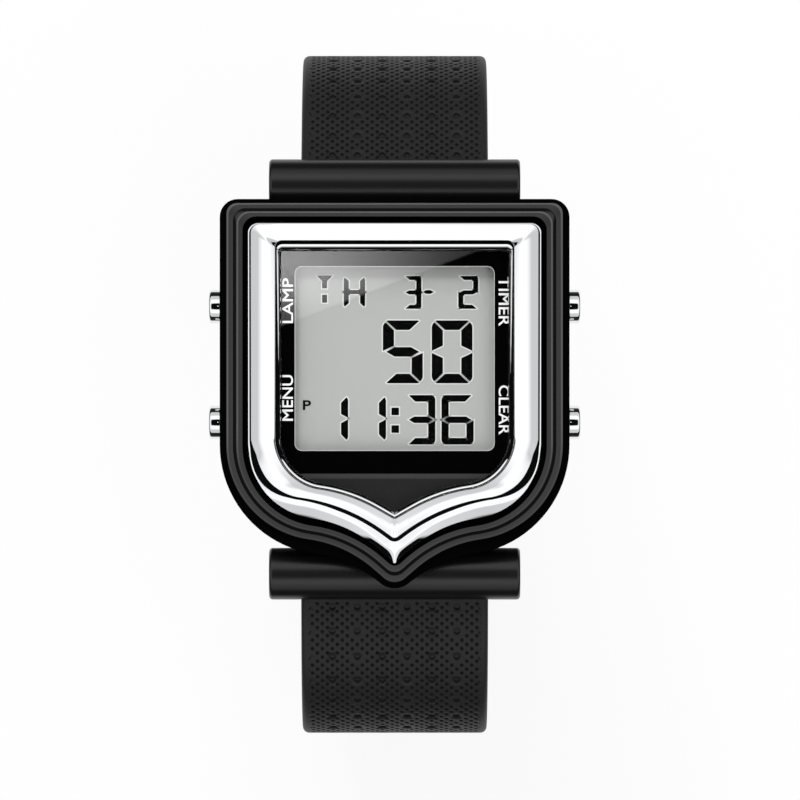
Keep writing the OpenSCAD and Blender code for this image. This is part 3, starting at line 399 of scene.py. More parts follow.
def outline(o):
    """Points of an outline, from the point at 6 o'clock round to the right."""
    half_w, top, corner, cheek_y, cheek, flank, slope, point = o
    rad = math.radians
    lean = 90 - CHEEK_SWEEP
    flank_x = half_w - cheek + cheek * math.cos(rad(CHEEK_SWEEP))
    flank_y = cheek_y - cheek * math.sin(rad(CHEEK_SWEEP))
    edge_x = flank_x - flank * (math.sin(rad(slope)) - math.sin(rad(lean)))
    edge_y = flank_y - flank * (math.cos(rad(lean)) - math.cos(rad(slope)))
    tip_x = point * math.sin(rad(slope))
    tip_y = edge_y - (edge_x - tip_x) * math.tan(rad(slope))
    half = []
    for i in range(STEPS["point"] + 1):
        t = rad(slope * i / STEPS["point"])
        half.append((tip_x - point * (math.sin(rad(slope)) - math.sin(t)),
                     tip_y - point * (math.cos(t) - math.cos(rad(slope)))))
    run = max(0.0, edge_x - tip_x)
    for i in range(1, STEPS["edge"]):
        x = tip_x + run * i / STEPS["edge"]
        half.append((x, tip_y + (x - tip_x) * math.tan(rad(slope))))
    for i in range(STEPS["flank"] + 1):
        t = rad(slope + (lean - slope) * i / STEPS["flank"])
        half.append((flank_x - flank * (math.sin(t) - math.sin(rad(lean))),
                     flank_y - flank * (math.cos(rad(lean)) - math.cos(t))))
    half += arc(half_w - cheek, cheek_y, cheek, -CHEEK_SWEEP, 0, STEPS["cheek"])[1:]
    half += arc(half_w - corner, top - corner, corner, 0, 90, STEPS["corner"])
    return half + [(-x, y) for x, y in reversed(half[1:])]


def level(o, z):
    """A ring at one height on an outline, which may be given as points."""
    points = outline(o) if isinstance(o, Shield) else o
    return [(x, y, z) for x, y in points]


def prism(name, points, bottom, top):
    """A straight piece on flat points."""
    return loft(name, [level(points, z) for z in (bottom, top)])


def outward(line):
    """Unit vectors out of a closed line of points."""
    points = np.array(line)
    along = np.roll(points, -1, axis=0) - np.roll(points, 1, axis=0)
    away = np.stack([along[:, 1], -along[:, 0]], axis=1)
    return away / np.maximum(np.linalg.norm(away, axis=1, keepdims=True), 1e-9)


def pushed(line, by):
    """A closed line of points moved out by a distance at each place of half the line."""
    places, widths = zip(*by)
    half = np.interp(np.arange(len(line) // 2 + 1), places, widths)
    widths = np.concatenate([half, half[:0:-1]])
    return np.array(line) + outward(line) * widths[:, None]


def distances(points, line):
    """Distance of each point from a closed line of points."""
    start = np.array(line)
    along = np.roll(start, -1, axis=0) - start
    size = np.maximum((along ** 2).sum(1), 1e-12)
    off = np.array(points)[:, None, :] - start[None]
    share = np.clip((off * along).sum(2) / size, 0, 1)
    return np.linalg.norm(off - along * share[..., None], axis=2).min(1)


def drop_table(tilts):
    """Distances and drops of a bank whose tilt in degrees is given by distance."""
    far = np.linspace(0, tilts[-1][0], TILT_STEPS)
    steep = np.tan(np.radians(np.interp(far, *zip(*tilts))))
    drops = np.cumsum((steep[1:] + steep[:-1]) / 2 * np.diff(far))
    return far, np.concatenate([[0.0], drops])


def soft(value, start, end):
    share = np.clip((value - start) / (end - start), 0, 1)
    return share * share * (3 - 2 * share)


def clipped(o, y_min):
    """An outline whose lower end is cut straight."""
    return [(x, max(y, y_min)) for x, y in outline(o)]


# Node helpers

def connect(tree, value, socket):
    if isinstance(value, bpy.types.NodeSocket):
        tree.links.new(value, socket)
    else:
        socket.default_value = value


def add_node(tree, kind, inputs=(), **settings):
    """A node with its settings and inputs; inputs is a list of (socket, value or output)."""
    made = tree.nodes.new(kind)
    for key, value in settings.items():
        setattr(made, key, value)
    for key, value in inputs:
        connect(tree, value, made.inputs[key])
    return made


def compute(tree, operation, *values, **settings):
    made = add_node(tree, "ShaderNodeMath", list(enumerate(values)), operation=operation,
                    **settings)
    return made.outputs[0]


def product(tree, first, *others):
    """The product of several values."""
    for value in others:
        first = compute(tree, 'MULTIPLY', first, value)
    return first


def step_between(tree, value, start, end, low_value=0.0, high_value=1.0):
    """A smooth step of a value."""
    made = add_node(tree, "ShaderNodeMapRange", [
        ("Value", value), ("From Min", start), ("From Max", end),
        ("To Min", low_value), ("To Max", high_value)], interpolation_type='SMOOTHSTEP')
    return made.outputs["Result"]


def blend(tree, factor, first, second):
    """A value between two others."""
    made = add_node(tree, "ShaderNodeMix", [("Factor", factor), (2, first), (3, second)],
                    data_type='FLOAT')
    return made.outputs[0]


def blend_colour(tree, factor, first, second):
    made = add_node(tree, "ShaderNodeMix", [("Factor", factor), (6, first), (7, second)],
                    data_type='RGBA')
    return made.outputs[2]


def blend_shader(tree, factor, first, second):
    made = add_node(tree, "ShaderNodeMixShader", [(0, factor), (1, first), (2, second)])
    return made.outputs[0]


def shiny_rays(tree, light):
    """One for rays that a bright face or glass sends on."""
    return compute(tree, 'MAXIMUM', light.outputs["Is Glossy Ray"],
                   light.outputs["Is Transmission Ray"])


def rgba(values):
    return (*values[:3], 1.0)


def new_group(name, inputs, outputs):
    """A node group; inputs and outputs are lists of (name, socket type, default)."""
    group = bpy.data.node_groups.new(name, "ShaderNodeTree")
    for title, kind, default in inputs:
        socket = group.interface.new_socket(title, in_out='INPUT', socket_type=kind)
        if default is not None:
            socket.default_value = default
    for title, kind in outputs:
        group.interface.new_socket(title, in_out='OUTPUT', socket_type=kind)
    return group, group.nodes.new("NodeGroupInput"), group.nodes.new("NodeGroupOutput")


# Scale of the broad unevenness in every grain
BROAD_SCALE = 120.0
# How far brush marks are drawn out, and the noise values where their shade starts and ends
MARK_STRETCH = 0.02
MARK_EDGE = (0.3, 0.7)


def make_grain():
    """Fine unevenness: a roughness that varies and a height for the bump."""
    group, given, result = new_group("surface grain", [
        ("Scale", "NodeSocketFloat", 900.0), ("Roughness", "NodeSocketFloat", 0.4),
        ("Spread", "NodeSocketFloat", 0.1)],
        [("Roughness", "NodeSocketFloat"), ("Height", "NodeSocketFloat")])
    place_at = add_node(group, "ShaderNodeTexCoord").outputs["Object"]
    fine = add_node(group, "ShaderNodeTexNoise", [
        ("Vector", place_at), ("Scale", given.outputs["Scale"]), ("Detail", 3.0)])
    broad = add_node(group, "ShaderNodeTexNoise", [
        ("Vector", place_at), ("Scale", BROAD_SCALE), ("Detail", 2.0)])
    connect(group, uneven_roughness(group, given, broad), result.inputs["Roughness"])
    connect(group, fine.outputs["Fac"], result.inputs["Height"])
    return group


def uneven_roughness(group, given, noise):
    """The given roughness, varied by a noise within the given spread."""
    uneven = compute(group, 'SUBTRACT', noise.outputs["Fac"], 0.5)
    spread = product(group, uneven, given.outputs["Spread"])
    return compute(group, 'ADD', spread, given.outputs["Roughness"], use_clamp=True)


def make_brushing():
    """Straight brush marks along X: a shade, a roughness and a height."""
    group, given, result = new_group("brush marks", [
        ("Vector", "NodeSocketVector", None), ("Fineness", "NodeSocketFloat", 9000.0),
        ("Roughness", "NodeSocketFloat", 0.3), ("Spread", "NodeSocketFloat", 0.2)],
        [("Shade", "NodeSocketFloat"), ("Roughness", "NodeSocketFloat"),
         ("Height", "NodeSocketFloat")])
    stretched = add_node(group, "ShaderNodeMapping", [
        ("Vector", given.outputs["Vector"]), ("Scale", (MARK_STRETCH, 1.0, 1.0))])
    marks = add_node(group, "ShaderNodeTexNoise", [
        ("Vector", stretched.outputs["Vector"]), ("Scale", given.outputs["Fineness"]),
        ("Detail", 2.0)])
    shade = step_between(group, marks.outputs["Fac"], *MARK_EDGE)
    connect(group, shade, result.inputs["Shade"])
    connect(group, uneven_roughness(group, given, marks), result.inputs["Roughness"])
    connect(group, marks.outputs["Fac"], result.inputs["Height"])
    return group


# The strap's pattern is a lattice of columns and rows, this far apart in mm
ACROSS = 0.28135
ALONG = 0.234175
# Columns with large dimples, the last one with small dimples, and the one at the flat's end
LARGE_COLUMNS = (-25, -15, -5, 5, 15, 25)
LAST_COLUMN = 33
EDGE_COLUMN = 35
# Rows from one large dimple to the next, and from one small dimple to the next in its column;
# every second column of small ones starts half of that further on
LARGE_ROWS = 12
SMALL_ROWS = 4
# A large dimple's radius in mm, and the share of its depth that it loses towards its rim
LARGE_R = 0.42
RIM_LOSS = 0.55
# Cells that repeat, in lattice steps: small dimples, large ones, and pairs of large ones
SMALL_CELL = (4.0, SMALL_ROWS)
LARGE_CELL = (10.0, LARGE_ROWS)
PAIR_CELL = (20.0, LARGE_ROWS)
# Column and row where each kind starts, and where the unshaded middle of a large dimple is, which
# leaves a crescent of painted shade
SMALL_AT = ((3.0, 0.0), (1.0, 2.0))
LARGE_AT = (5.0, 0.0)
MIDDLE_AT = (5.0, -0.9)
# Distances in mm at which the pattern's masks of painted shade start and end: a small dimple, the plain
# ground round every large one and round every second one, a large dimple, and its unshaded middle
SMALL_EDGE = (0.25, 0.17)
LARGE_GROUND = (0.46, 0.52)
PAIR_GROUND = (0.74, 0.8)
LARGE_EDGE = (0.43, 0.36)
LARGE_MIDDLE = (0.3, 0.42)


def make_dimple_field():
    """Masks of the painted shade in the strap's dimples, a crescent in the large ones, from its map,
    whose units are lattice steps.
    """
    group, given, result = new_group(
        "dimple field", [("Vector", "NodeSocketVector", None)],
        [("Small", "NodeSocketFloat"), ("Large", "NodeSocketFloat")])

    def distance(column, row, cell):
        moved = add_node(group, "ShaderNodeVectorMath", [
            (0, given.outputs["Vector"]), (1, (column, row, 0.0))], operation='SUBTRACT')
        half = (cell[0] / 2, cell[1] / 2, 1.0)
        wrapped = add_node(group, "ShaderNodeVectorMath", [
            (0, moved.outputs[0]), (1, half), (2, (-half[0], -half[1], -1.0))], operation='WRAP')
        flat = add_node(group, "ShaderNodeVectorMath", [
            (0, wrapped.outputs[0]), (1, (ACROSS, ALONG, 0.0))], operation='MULTIPLY')
        made = add_node(group, "ShaderNodeVectorMath", [(0, flat.outputs[0])],
                        operation='LENGTH')
        return made.outputs["Value"]

    near = compute(group, 'MINIMUM', *(distance(*at, SMALL_CELL) for at in SMALL_AT))
    large_at = distance(*LARGE_AT, LARGE_CELL)
    pair_at = distance(*LARGE_AT, PAIR_CELL)
    small = product(group, step_between(group, near, *SMALL_EDGE),
                    step_between(group, large_at, *LARGE_GROUND),
                    step_between(group, pair_at, *PAIR_GROUND))
    inner = step_between(group, distance(*MIDDLE_AT, LARGE_CELL), *LARGE_MIDDLE)
    large = product(group, step_between(group, large_at, *LARGE_EDGE), inner)
    connect(group, small, result.inputs["Small"])
    connect(group, large, result.inputs["Large"])
    return group


def use_group(tree, group, inputs=()):
    made = add_node(tree, "ShaderNodeGroup", node_tree=group)
    for key, value in inputs:
        connect(tree, value, made.inputs[key])
    return made


def principled(name, colour_value, **sockets):
    """A material with one Principled shader and plain values on its own sockets."""
    made = bpy.data.materials.new(name)
    made.use_nodes = True
    tree = made.node_tree
    shader = tree.nodes["Principled BSDF"]
    shader.inputs["Base Color"].default_value = rgba(colour_value)
    for key, value in sockets.items():
        shader.inputs[key.replace("_", " ")].default_value = value
    return made, tree, shader


def grained(name, colour_value, roughness, spread=0.1, scale=900.0, bump=0.0, **sockets):
    """A plain surface with fine grain."""
    made, tree, shader = principled(name, colour_value, **sockets)
    grain = use_group(tree, GROUPS["grain"], [
        ("Scale", scale), ("Roughness", roughness), ("Spread", spread)])
    connect(tree, grain.outputs["Roughness"], shader.inputs["Roughness"])
    if bump:
        add_bump(tree, shader, grain.outputs["Height"], bump)
    return made


def add_bump(tree, shader, height, depth):
    """Feeds a height in shares of depth, in mm, into the shader's normal."""
    bump = add_node(tree, "ShaderNodeBump", [
        ("Height", height), ("Strength", 1.0), ("Distance", depth * MM)])
    connect(tree, bump.outputs["Normal"], shader.inputs["Normal"])


GROUPS = {}
FINISHES = {}


def finish(piece, name):
    """Gives a piece one finish."""
    piece.data.materials.clear()
    piece.data.materials.append(FINISHES[name])
    return piece


def ready(piece, finish_name, body, slot, *nodes):
    """Finishes a piece, makes it ride on its body and stand for its solids."""
    finish(piece, finish_name)
    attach(piece, body)
    if nodes:
        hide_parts(*nodes)
    return piece


# Finishes with fine grain: a colour or the name of its setting, roughness and its spread, and
# for some the grain's scale and its depth in mm
METALS = {
    "chrome": ("chrome", 0.015, 0.01),
    "sleeve_steel": ((0.5, 0.5, 0.51), 0.22, 0.1),
    "bright_steel": ((0.6, 0.6, 0.61), 0.2, 0.1),
    "buckle_steel": ("buckle", 0.16, 0.08),
    "spring_steel": ((0.42, 0.43, 0.44), 0.28, 0.1),
    "contact_gold": ((0.75, 0.55, 0.22), 0.25, 0.1),
}
PRINTS = {
    "mask_print": ("mask", 0.5, 0.05),
    # Matte black without shine, painted on as shade on the bezel's outer wall and well and in the
    # bright ring's groove
    "painted_shade": ((0.0012, 0.0012, 0.0012), 0.6, 0.05),
    "label_print": ("label", 0.6, 0.05),
    "segment_ink": ("ink", 0.5, 0.05),
    "display_halo": ("halo", 0.6, 0.05),
    "display_ground": ("ground", 0.7, 0.1, 5000.0, 0.002),
}
PLASTICS = {
    "case_plastic": ("case", 0.3, 0.05, 1500.0, 0.002),
    "bezel_plastic": ("bezel", 0.2, 0.04, 1800.0, 0.002),
    "seal_rubber": ((0.01, 0.01, 0.01), 0.6, 0.1, 1200.0, 0.01),
    "reflector_foil": ((0.5, 0.5, 0.5), 0.5, 0.1),
    "guide_acrylic": ((0.8, 0.85, 0.88), 0.3, 0.1),
    "lamp_resin": ((0.85, 0.83, 0.7), 0.35, 0.1),
    "frame_plastic": ((0.03, 0.032, 0.034), 0.5, 0.1, 1500.0, 0.01),
    "chip_resin": ((0.012, 0.012, 0.013), 0.55, 0.1, 3000.0, 0.01),
    "component_tan": ((0.42, 0.3, 0.18), 0.45, 0.1),
}
RUBBERS = {"keeper_rubber": ("strap", 0.55, 0.08, 1500.0, 0.01)}
RUBBER_SHINE = 0.25
# Each kind of finish with the plain sockets that it shares
KINDS = (
    (METALS, {"Metallic": 1.0}), (PRINTS, {"Specular_IOR_Level": 0.0}), (PLASTICS, {}),
    (RUBBERS, {"Specular_IOR_Level": RUBBER_SHINE}),
)
# Painted highlights: heights up the dial, in mm, below which the highlight on the terraces' edges fades
# to dark, and where the panel's highlight along its upper edge fades in, with how much lighter that
# highlight is
HIGHLIGHT_FADE = (-9, -4)
PANEL_HIGHLIGHT_FADE = (-9.65, -9.45)
PANEL_HIGHLIGHT_GAIN = 2.2
# How much rougher the bottom of a dimple is than the strap
PIT_ROUGHNESS = 0.35
# Shade of the darkest brush marks as a share of the metal's colour
MARK_SHADE = 0.8
# The contact rubber and its layers; the board's two greens and its tracks
ZEBRA_SHADES = ((0.62, 0.26, 0.32), (0.05, 0.04, 0.045))
BOARD_SHADES = ((0.01, 0.11, 0.035), (0.012, 0.13, 0.04), (0.05, 0.26, 0.09))


class WATCH_OT_finishes(bpy.types.Operator):
    """Builds the shared effects and every material of the watch"""
    bl_idname = "watch.finishes"
    bl_label = "Finishes"

    def execute(self, context):
        shades = context.scene.watch_colours
        GROUPS.update(grain=make_grain(), brushing=make_brushing(), dimples=make_dimple_field())
        for table, sockets in KINDS:
            for name, (shade, *grain) in table.items():
                if isinstance(shade, str):
                    shade = getattr(shades, shade)
                FINISHES[name] = grained(name, shade, *grain, **sockets)
        # Painted highlights on the terraces' edges, darker towards the bottom of the dial, and along
        # the panel's upper edge
        dark = tuple((a + 3 * b) / 4 for a, b in zip(shades.bezel_edge_highlight, shades.bezel))
        pale = tuple(PANEL_HIGHLIGHT_GAIN * value for value in shades.panel)
        self.faded("bezel_edge_highlight", dark, shades.bezel_edge_highlight, HIGHLIGHT_FADE, Roughness=0.25)
        self.faded("panel_print", shades.panel, pale, PANEL_HIGHLIGHT_FADE, Roughness=0.55,
                   Specular_IOR_Level=0.0)
        self.rubber("strap_rubber", shades)
        self.brushed("back_steel", shades.back)
        self.striped("zebra_rubber")
        self.laminate("board_laminate")
        self.glass("crystal_glass", tint=(1.0, 1.0, 1.0), bending=1.45)
        self.glass("display_glass", tint=(0.97, 0.98, 0.97), bending=1.0)
        self.dress_solids()
        return {'FINISHED'}

    def faded(self, name, lower, upper, heights, **sockets):
        """A colour that turns into another one up the dial, which lays a painted highlight that fades
        with height.
        """
        made, tree, shader = principled(name, upper, **sockets)
        place_at = add_node(tree, "ShaderNodeTexCoord").outputs["Object"]
        up = add_node(tree, "ShaderNodeSeparateXYZ", [("Vector", place_at)]).outputs["Y"]
        share = step_between(tree, up, *(height * MM for height in heights))
        shade = blend_colour(tree, share, rgba(lower), rgba(upper))
        connect(tree, shade, shader.inputs["Base Color"])
        FINISHES[name] = made

    def rubber(self, name, shades):
        """Grained rubber with rougher dimples, darkened with painted shade, where the pattern runs."""
        made, tree, shader = principled(name, shades.strap, Specular_IOR_Level=RUBBER_SHINE)
        chart = add_node(tree, "ShaderNodeUVMap", uv_map="UVMap")
        field = add_node(tree, "ShaderNodeAttribute", attribute_name="field")
        pits = use_group(tree, GROUPS["dimples"], [("Vector", chart.outputs["UV"])])
        both = compute(tree, 'MAXIMUM', pits.outputs["Small"], pits.outputs["Large"])
        mask = product(tree, both, field.outputs["Fac"])
        shade = blend_colour(tree, mask, rgba(shades.strap), rgba(shades.pit))
        connect(tree, shade, shader.inputs["Base Color"])
        grain = use_group(tree, GROUPS["grain"], [
            ("Scale", 1600.0), ("Roughness", 0.5), ("Spread", 0.1)])
        deep = product(tree, mask, PIT_ROUGHNESS)
        rough = compute(tree, 'ADD', grain.outputs["Roughness"], deep, use_clamp=True)
        connect(tree, rough, shader.inputs["Roughness"])
        add_bump(tree, shader, grain.outputs["Height"], depth=0.006)
        FINISHES[name] = made

    def brushed(self, name, colour_value):
        """Steel with straight brush marks."""
        made, tree, shader = principled(name, colour_value, Metallic=1.0)
        place_at = add_node(tree, "ShaderNodeTexCoord").outputs["Object"]
        marks = use_group(tree, GROUPS["brushing"], [
            ("Vector", place_at), ("Roughness", 0.32), ("Spread", 0.25)])
        dark = tuple(MARK_SHADE * c for c in colour_value)
        shade = blend_colour(tree, marks.outputs["Shade"], rgba(dark), rgba(colour_value))
        connect(tree, shade, shader.inputs["Base Color"])
        connect(tree, marks.outputs["Roughness"], shader.inputs["Roughness"])
        add_bump(tree, shader, marks.outputs["Height"], depth=0.004)
        FINISHES[name] = made

    def striped(self, name):
        """Contact rubber with thin dark layers across its length."""
        pink, dark = ZEBRA_SHADES
        made, tree, shader = principled(name, pink, Roughness=0.5)
        place_at = add_node(tree, "ShaderNodeTexCoord").outputs["Object"]
        bands = add_node(tree, "ShaderNodeTexWave", [("Vector", place_at), ("Scale", 900.0)],
                         bands_direction='X')
        shade = blend_colour(tree, bands.outputs["Fac"], rgba(pink), rgba(dark))
        connect(tree, shade, shader.inputs["Base Color"])
        FINISHES[name] = made

    def laminate(self, name):
        """Green board with lighter tracks."""
        first, second, track = BOARD_SHADES
        made, tree, shader = principled(name, first, Roughness=0.35)
        place_at = add_node(tree, "ShaderNodeTexCoord").outputs["Object"]
        cells = add_node(tree, "ShaderNodeTexBrick", [
            ("Vector", place_at), ("Scale", 700.0), ("Mortar Size", 0.06),
            ("Color1", rgba(first)), ("Color2", rgba(second)), ("Mortar", rgba(track))])
        connect(tree, cells.outputs["Color"], shader.inputs["Base Color"])
        add_bump(tree, shader, cells.outputs["Fac"], depth=0.01)
        FINISHES[name] = made

    def glass(self, name, tint, bending):
        """Clear glass that lets the light through to the dial; bonded layers don't bend it."""
        made, tree, shader = principled(
            name, tint, Roughness=0.0, IOR=bending, Transmission_Weight=1.0)
        clear = add_node(tree, "ShaderNodeBsdfTransparent")
        light = add_node(tree, "ShaderNodeLightPath")
        unseen = compute(tree, 'MAXIMUM', light.outputs["Is Shadow Ray"],
                         light.outputs["Is Diffuse Ray"])
        either = blend_shader(tree, unseen, shader.outputs[0], clear.outputs[0])
        connect(tree, either, tree.nodes["Material Output"].inputs["Surface"])
        FINISHES[name] = made

    def dress_solids(self):
        """Gives each solid its finish, for where it stays in sight."""
        for name, nodes in SOLID_FINISHES.items():
            for node in nodes.split():
                finish(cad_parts[node], name)


SOLID_FINISHES = {
    "case_plastic": "case_body",
    "bezel_plastic": "front_bezel",
    "chrome": "chrome_bezel light_button mode_button start_button reset_button",
    "sleeve_steel": "button_sleeves",
    "crystal_glass": "crystal",
    "seal_rubber": "crystal_gasket back_gasket button_seals",
    "mask_print": "display_mask",
    # The panel's print, with a painted highlight along its upper edge
    "panel_print": "lower_dial_panel",
    "display_glass": "lcd_front_polarizer lcd_front_glass",
    "segment_ink": "lcd_segments",
    "display_ground": "lcd_rear_glass",
    "reflector_foil": "lcd_reflector",
    "guide_acrylic": "light_guide",
    "lamp_resin": "led_lamp",
    "zebra_rubber": "zebra_connectors",
    "frame_plastic": "module_frame",
    "board_laminate": "circuit_board",
    "chip_resin": "controller_chip",
    "bright_steel": "quartz_crystal battery battery_clip case_back_screws module_screws "
                    "light_button_clip mode_button_clip start_button_clip reset_button_clip "
                    "spring_bar_tubes upper_left_bar_pin upper_right_bar_pin "
                    "lower_left_bar_pin lower_right_bar_pin",
    "component_tan": "smd_components boost_coil",
    "contact_gold": "battery_contact switch_contacts piezo_disc",
    "spring_steel": "piezo_spring light_button_spring mode_button_spring "
                    "start_button_spring reset_button_spring spring_bar_springs",
    "back_steel": "case_back",
    "keeper_rubber": "upper_strap lower_strap fixed_keeper free_keeper",
    "buckle_steel": "buckle_bar buckle_frame buckle_prong",
}


# Case

# Distance in metres at which the shell's points merge, and the angles in degrees below which
# its faces count as flat and are shaded as one
SHELL_MERGE = 1e-6
SHELL_FLAT = 0.6
SHELL_SMOOTH = 28
# Rings of the front bezel in mm. On the wall: inset from the rim, and height. On the sill:
# share of the way to the land, and height. On the terraces: share of the way to the well, and
# depth below the top. In the well: share of the way to the bright ring's edge, and height.
BEZEL_WALL = ((0.3, 0.0), (0.06, 0.22), (0.0, 0.42), (0.0, 0.9), (0.05, 1.0))
BEZEL_SILL = ((0.13, 1.08), (0.17, 1.085), (0.78, 1.17), (0.81, 1.18), (0.85, 1.22))
SILL_END = {"share": 0.985, "depth": 0.89}
TERRACES = ((0.01, 0.87), (0.115, 0.8), (0.36, 0.645), (0.385, 0.625), (0.4, 0.59), (0.59, 0.26),
            (0.605, 0.238), (0.615, 0.23), (0.71, 0.168), (0.93, 0.022), (0.965, 0.0))
WELL_BRINK = ((0.985, 0.03), (1.0, 0.12))
WELL_WALL = ((0.1, 1.9), (0.2, 1.3), (1.0, 1.25), (1.0, 1.2))
# Rings of the terraces between which the faces get the painted highlight of their edges, the wall's
# first ring painted matte black as shade, and how many bands of the well are painted black as shade;
# then the same for the bright ring's groove
HIGHLIGHT_ROWS = ((0, 1), (7, 8))
DARK_WALL = 3
DARK_WELL = 5
DARK_GROOVE = 3


class WATCH_OT_case_shell(bpy.types.Operator):
    """Merges and smooths a copy of the moulded case with its lug hoods"""
    bl_idname = "watch.case_shell"
    bl_label = "Case shell"

    def execute(self, context):
        piece = bpy.data.objects.new("case_shell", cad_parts["case_body"].data.copy())
        piece.data.name = "case_shell"
        context.scene.collection.objects.link(piece)
        activate(piece)
        bpy.ops.object.mode_set(mode='EDIT')
        bpy.ops.mesh.select_mode(type='VERT')
        bpy.ops.mesh.select_all(action='SELECT')
        bpy.ops.mesh.remove_doubles(threshold=SHELL_MERGE)
        bpy.ops.mesh.dissolve_limited(angle_limit=math.radians(SHELL_FLAT))
        bpy.ops.object.mode_set(mode='OBJECT')
        smooth(piece, SHELL_SMOOTH)
        apply_modifier(piece, 'WEIGHTED_NORMAL', keep_sharp=True, weight=100)
        ready(piece, "case_plastic", "case", "case_plastic", "case_body")
        return {'FINISHED'}


class WATCH_OT_front_bezel(bpy.types.Operator):
    """Models the black front bezel with its two terraces"""
    bl_idname = "watch.front_bezel"
    bl_label = "Front bezel"

    def execute(self, context):
        top = high("front_bezel").z - SEAT_Z
        wall = [(inset(RIM, d), z) for d, z in BEZEL_WALL]
        wall += [(mix(RIM, LAND, share), z) for share, z in BEZEL_SILL]
        wall.append((mix(RIM, LAND, SILL_END["share"]), top - SILL_END["depth"]))
        terraces = [(mix(LAND, WELL, share), top - drop) for share, drop in TERRACES]
        well = [(mix(LAND, WELL, share), top - drop) for share, drop in WELL_BRINK]
        well += [(mix(WELL, CHROME_EDGE, share), z) for share, z in WELL_WALL]
        bore = inset(SLOPE, RING_GAP)
        well += [(bore, WELL_WALL[-1][1]), (bore, 0.0)]
        rings = [level(o, SEAT_Z + z) for o, z in wall + terraces + well]
        piece = smooth(loft("front_bezel_ring", rings, closed=True), angle=40)
        ready(piece, "bezel_plastic", "case", "bezel_plastic", "front_bezel")
        first = len(wall)
        # Painted highlight along the edges of the terraces
        paint_bands(piece, "bezel_edge_highlight", [(first + a, first + b) for a, b in HIGHLIGHT_ROWS])
        well_at = first + len(terraces)
        # The outer wall and the well get matte black painted shade
        paint_bands(piece, "painted_shade",
                    [(DARK_WALL, first - 1), (well_at, well_at + DARK_WELL)])
        return {'FINISHED'}


# Tilts in degrees of the bright ring's outer flank by distance from its crest in mm, on the
# flanks of the shield, at its point, and on its sides and top
WIDE_FLANK = ((0, 13), (0.5, 20), (0.7, 26), (1.35, 34.5), (1.65, 38), (1.95, 41), (2.6, 44))
POINT_FLANK = ((0, 13), (0.8, 20), (0.9, 30), (1.0, 40), (2.6, 47))
SIDE_FLANK = ((0, 20), (0.08, 28), (0.16, 40), (0.3, 44), (2.6, 46))
FLANK_SHARES = (0, 0.05, 0.12, 0.2, 0.28, 0.36, 0.44, 0.52, 0.6, 0.68, 0.75, 0.82, 0.88, 0.93,
                0.97, 1)
# Tilts by share of the width: of the inner bank on the sides and at the point, at the top and
# on the cheeks, and of the lip
BANK = ((0, 12.5), (0.24, 17.5), (0.36, 21.5), (0.5, 23.5), (0.6, 27), (0.87, 36.5), (0.94, 39),
        (1, 42))
TOP_BANK = ((0, 13), (1, 21))
CHEEK_BANK = ((0, 21), (0.6, 23), (0.8, 29), (0.94, 39), (1, 42))
LIP = ((0, 16), (0.27, 19), (0.4, 38), (0.5, 41.5), (1, 43.5))
SIDE_LIP = 42
BANK_SHARES = (0, 0.06, 0.12, 0.18, 0.24, 0.3, 0.36, 0.42, 0.48, 0.54, 0.6, 0.66, 0.72, 0.78,
               0.84, 0.89, 0.93, 0.97, 1)
LIP_SHARES = (0, 0.12, 0.25, 0.38, 0.5, 0.58, 0.66, 0.75, 0.85, 0.93, 1)
# How far an outline faces down or up where one tilt turns into the next
FLANK_TURN = (0.4, 0.65)
TOP_TURN = (0.0, 0.9)
CHEEK_TURN = (0.15, 0.5)
CHEEK_END = (0.8, 0.93)
LIP_TURN = (0.35, 0.75)
# Distances across from the point where its flank turns into the wide one
POINT_TURN = (1.5, 5.0)
# The spike at the point: its half width, where it starts below the crest, and how far the fall
# is held back there
SPIKE = {"half_w": 0.65, "start": 0.75, "hold": 0.55}
# Heights of the groove's floor and of the lip's top over the ring's seat
GROOVE_FLOOR = 0.3
LIP_TOP = 0.74
# Drops of the skirt at the ring's edge, of the groove's brink and of the lip's outer corner
SKIRT_DROP = 0.08
BRINK_DROP = 0.06
LIP_CORNER = 0.02


def dropped(points, top, drops):
    """A ring of flat points, each at its own depth below one height."""
    return [(x, y, top - drop) for (x, y), drop in zip(points, drops)]


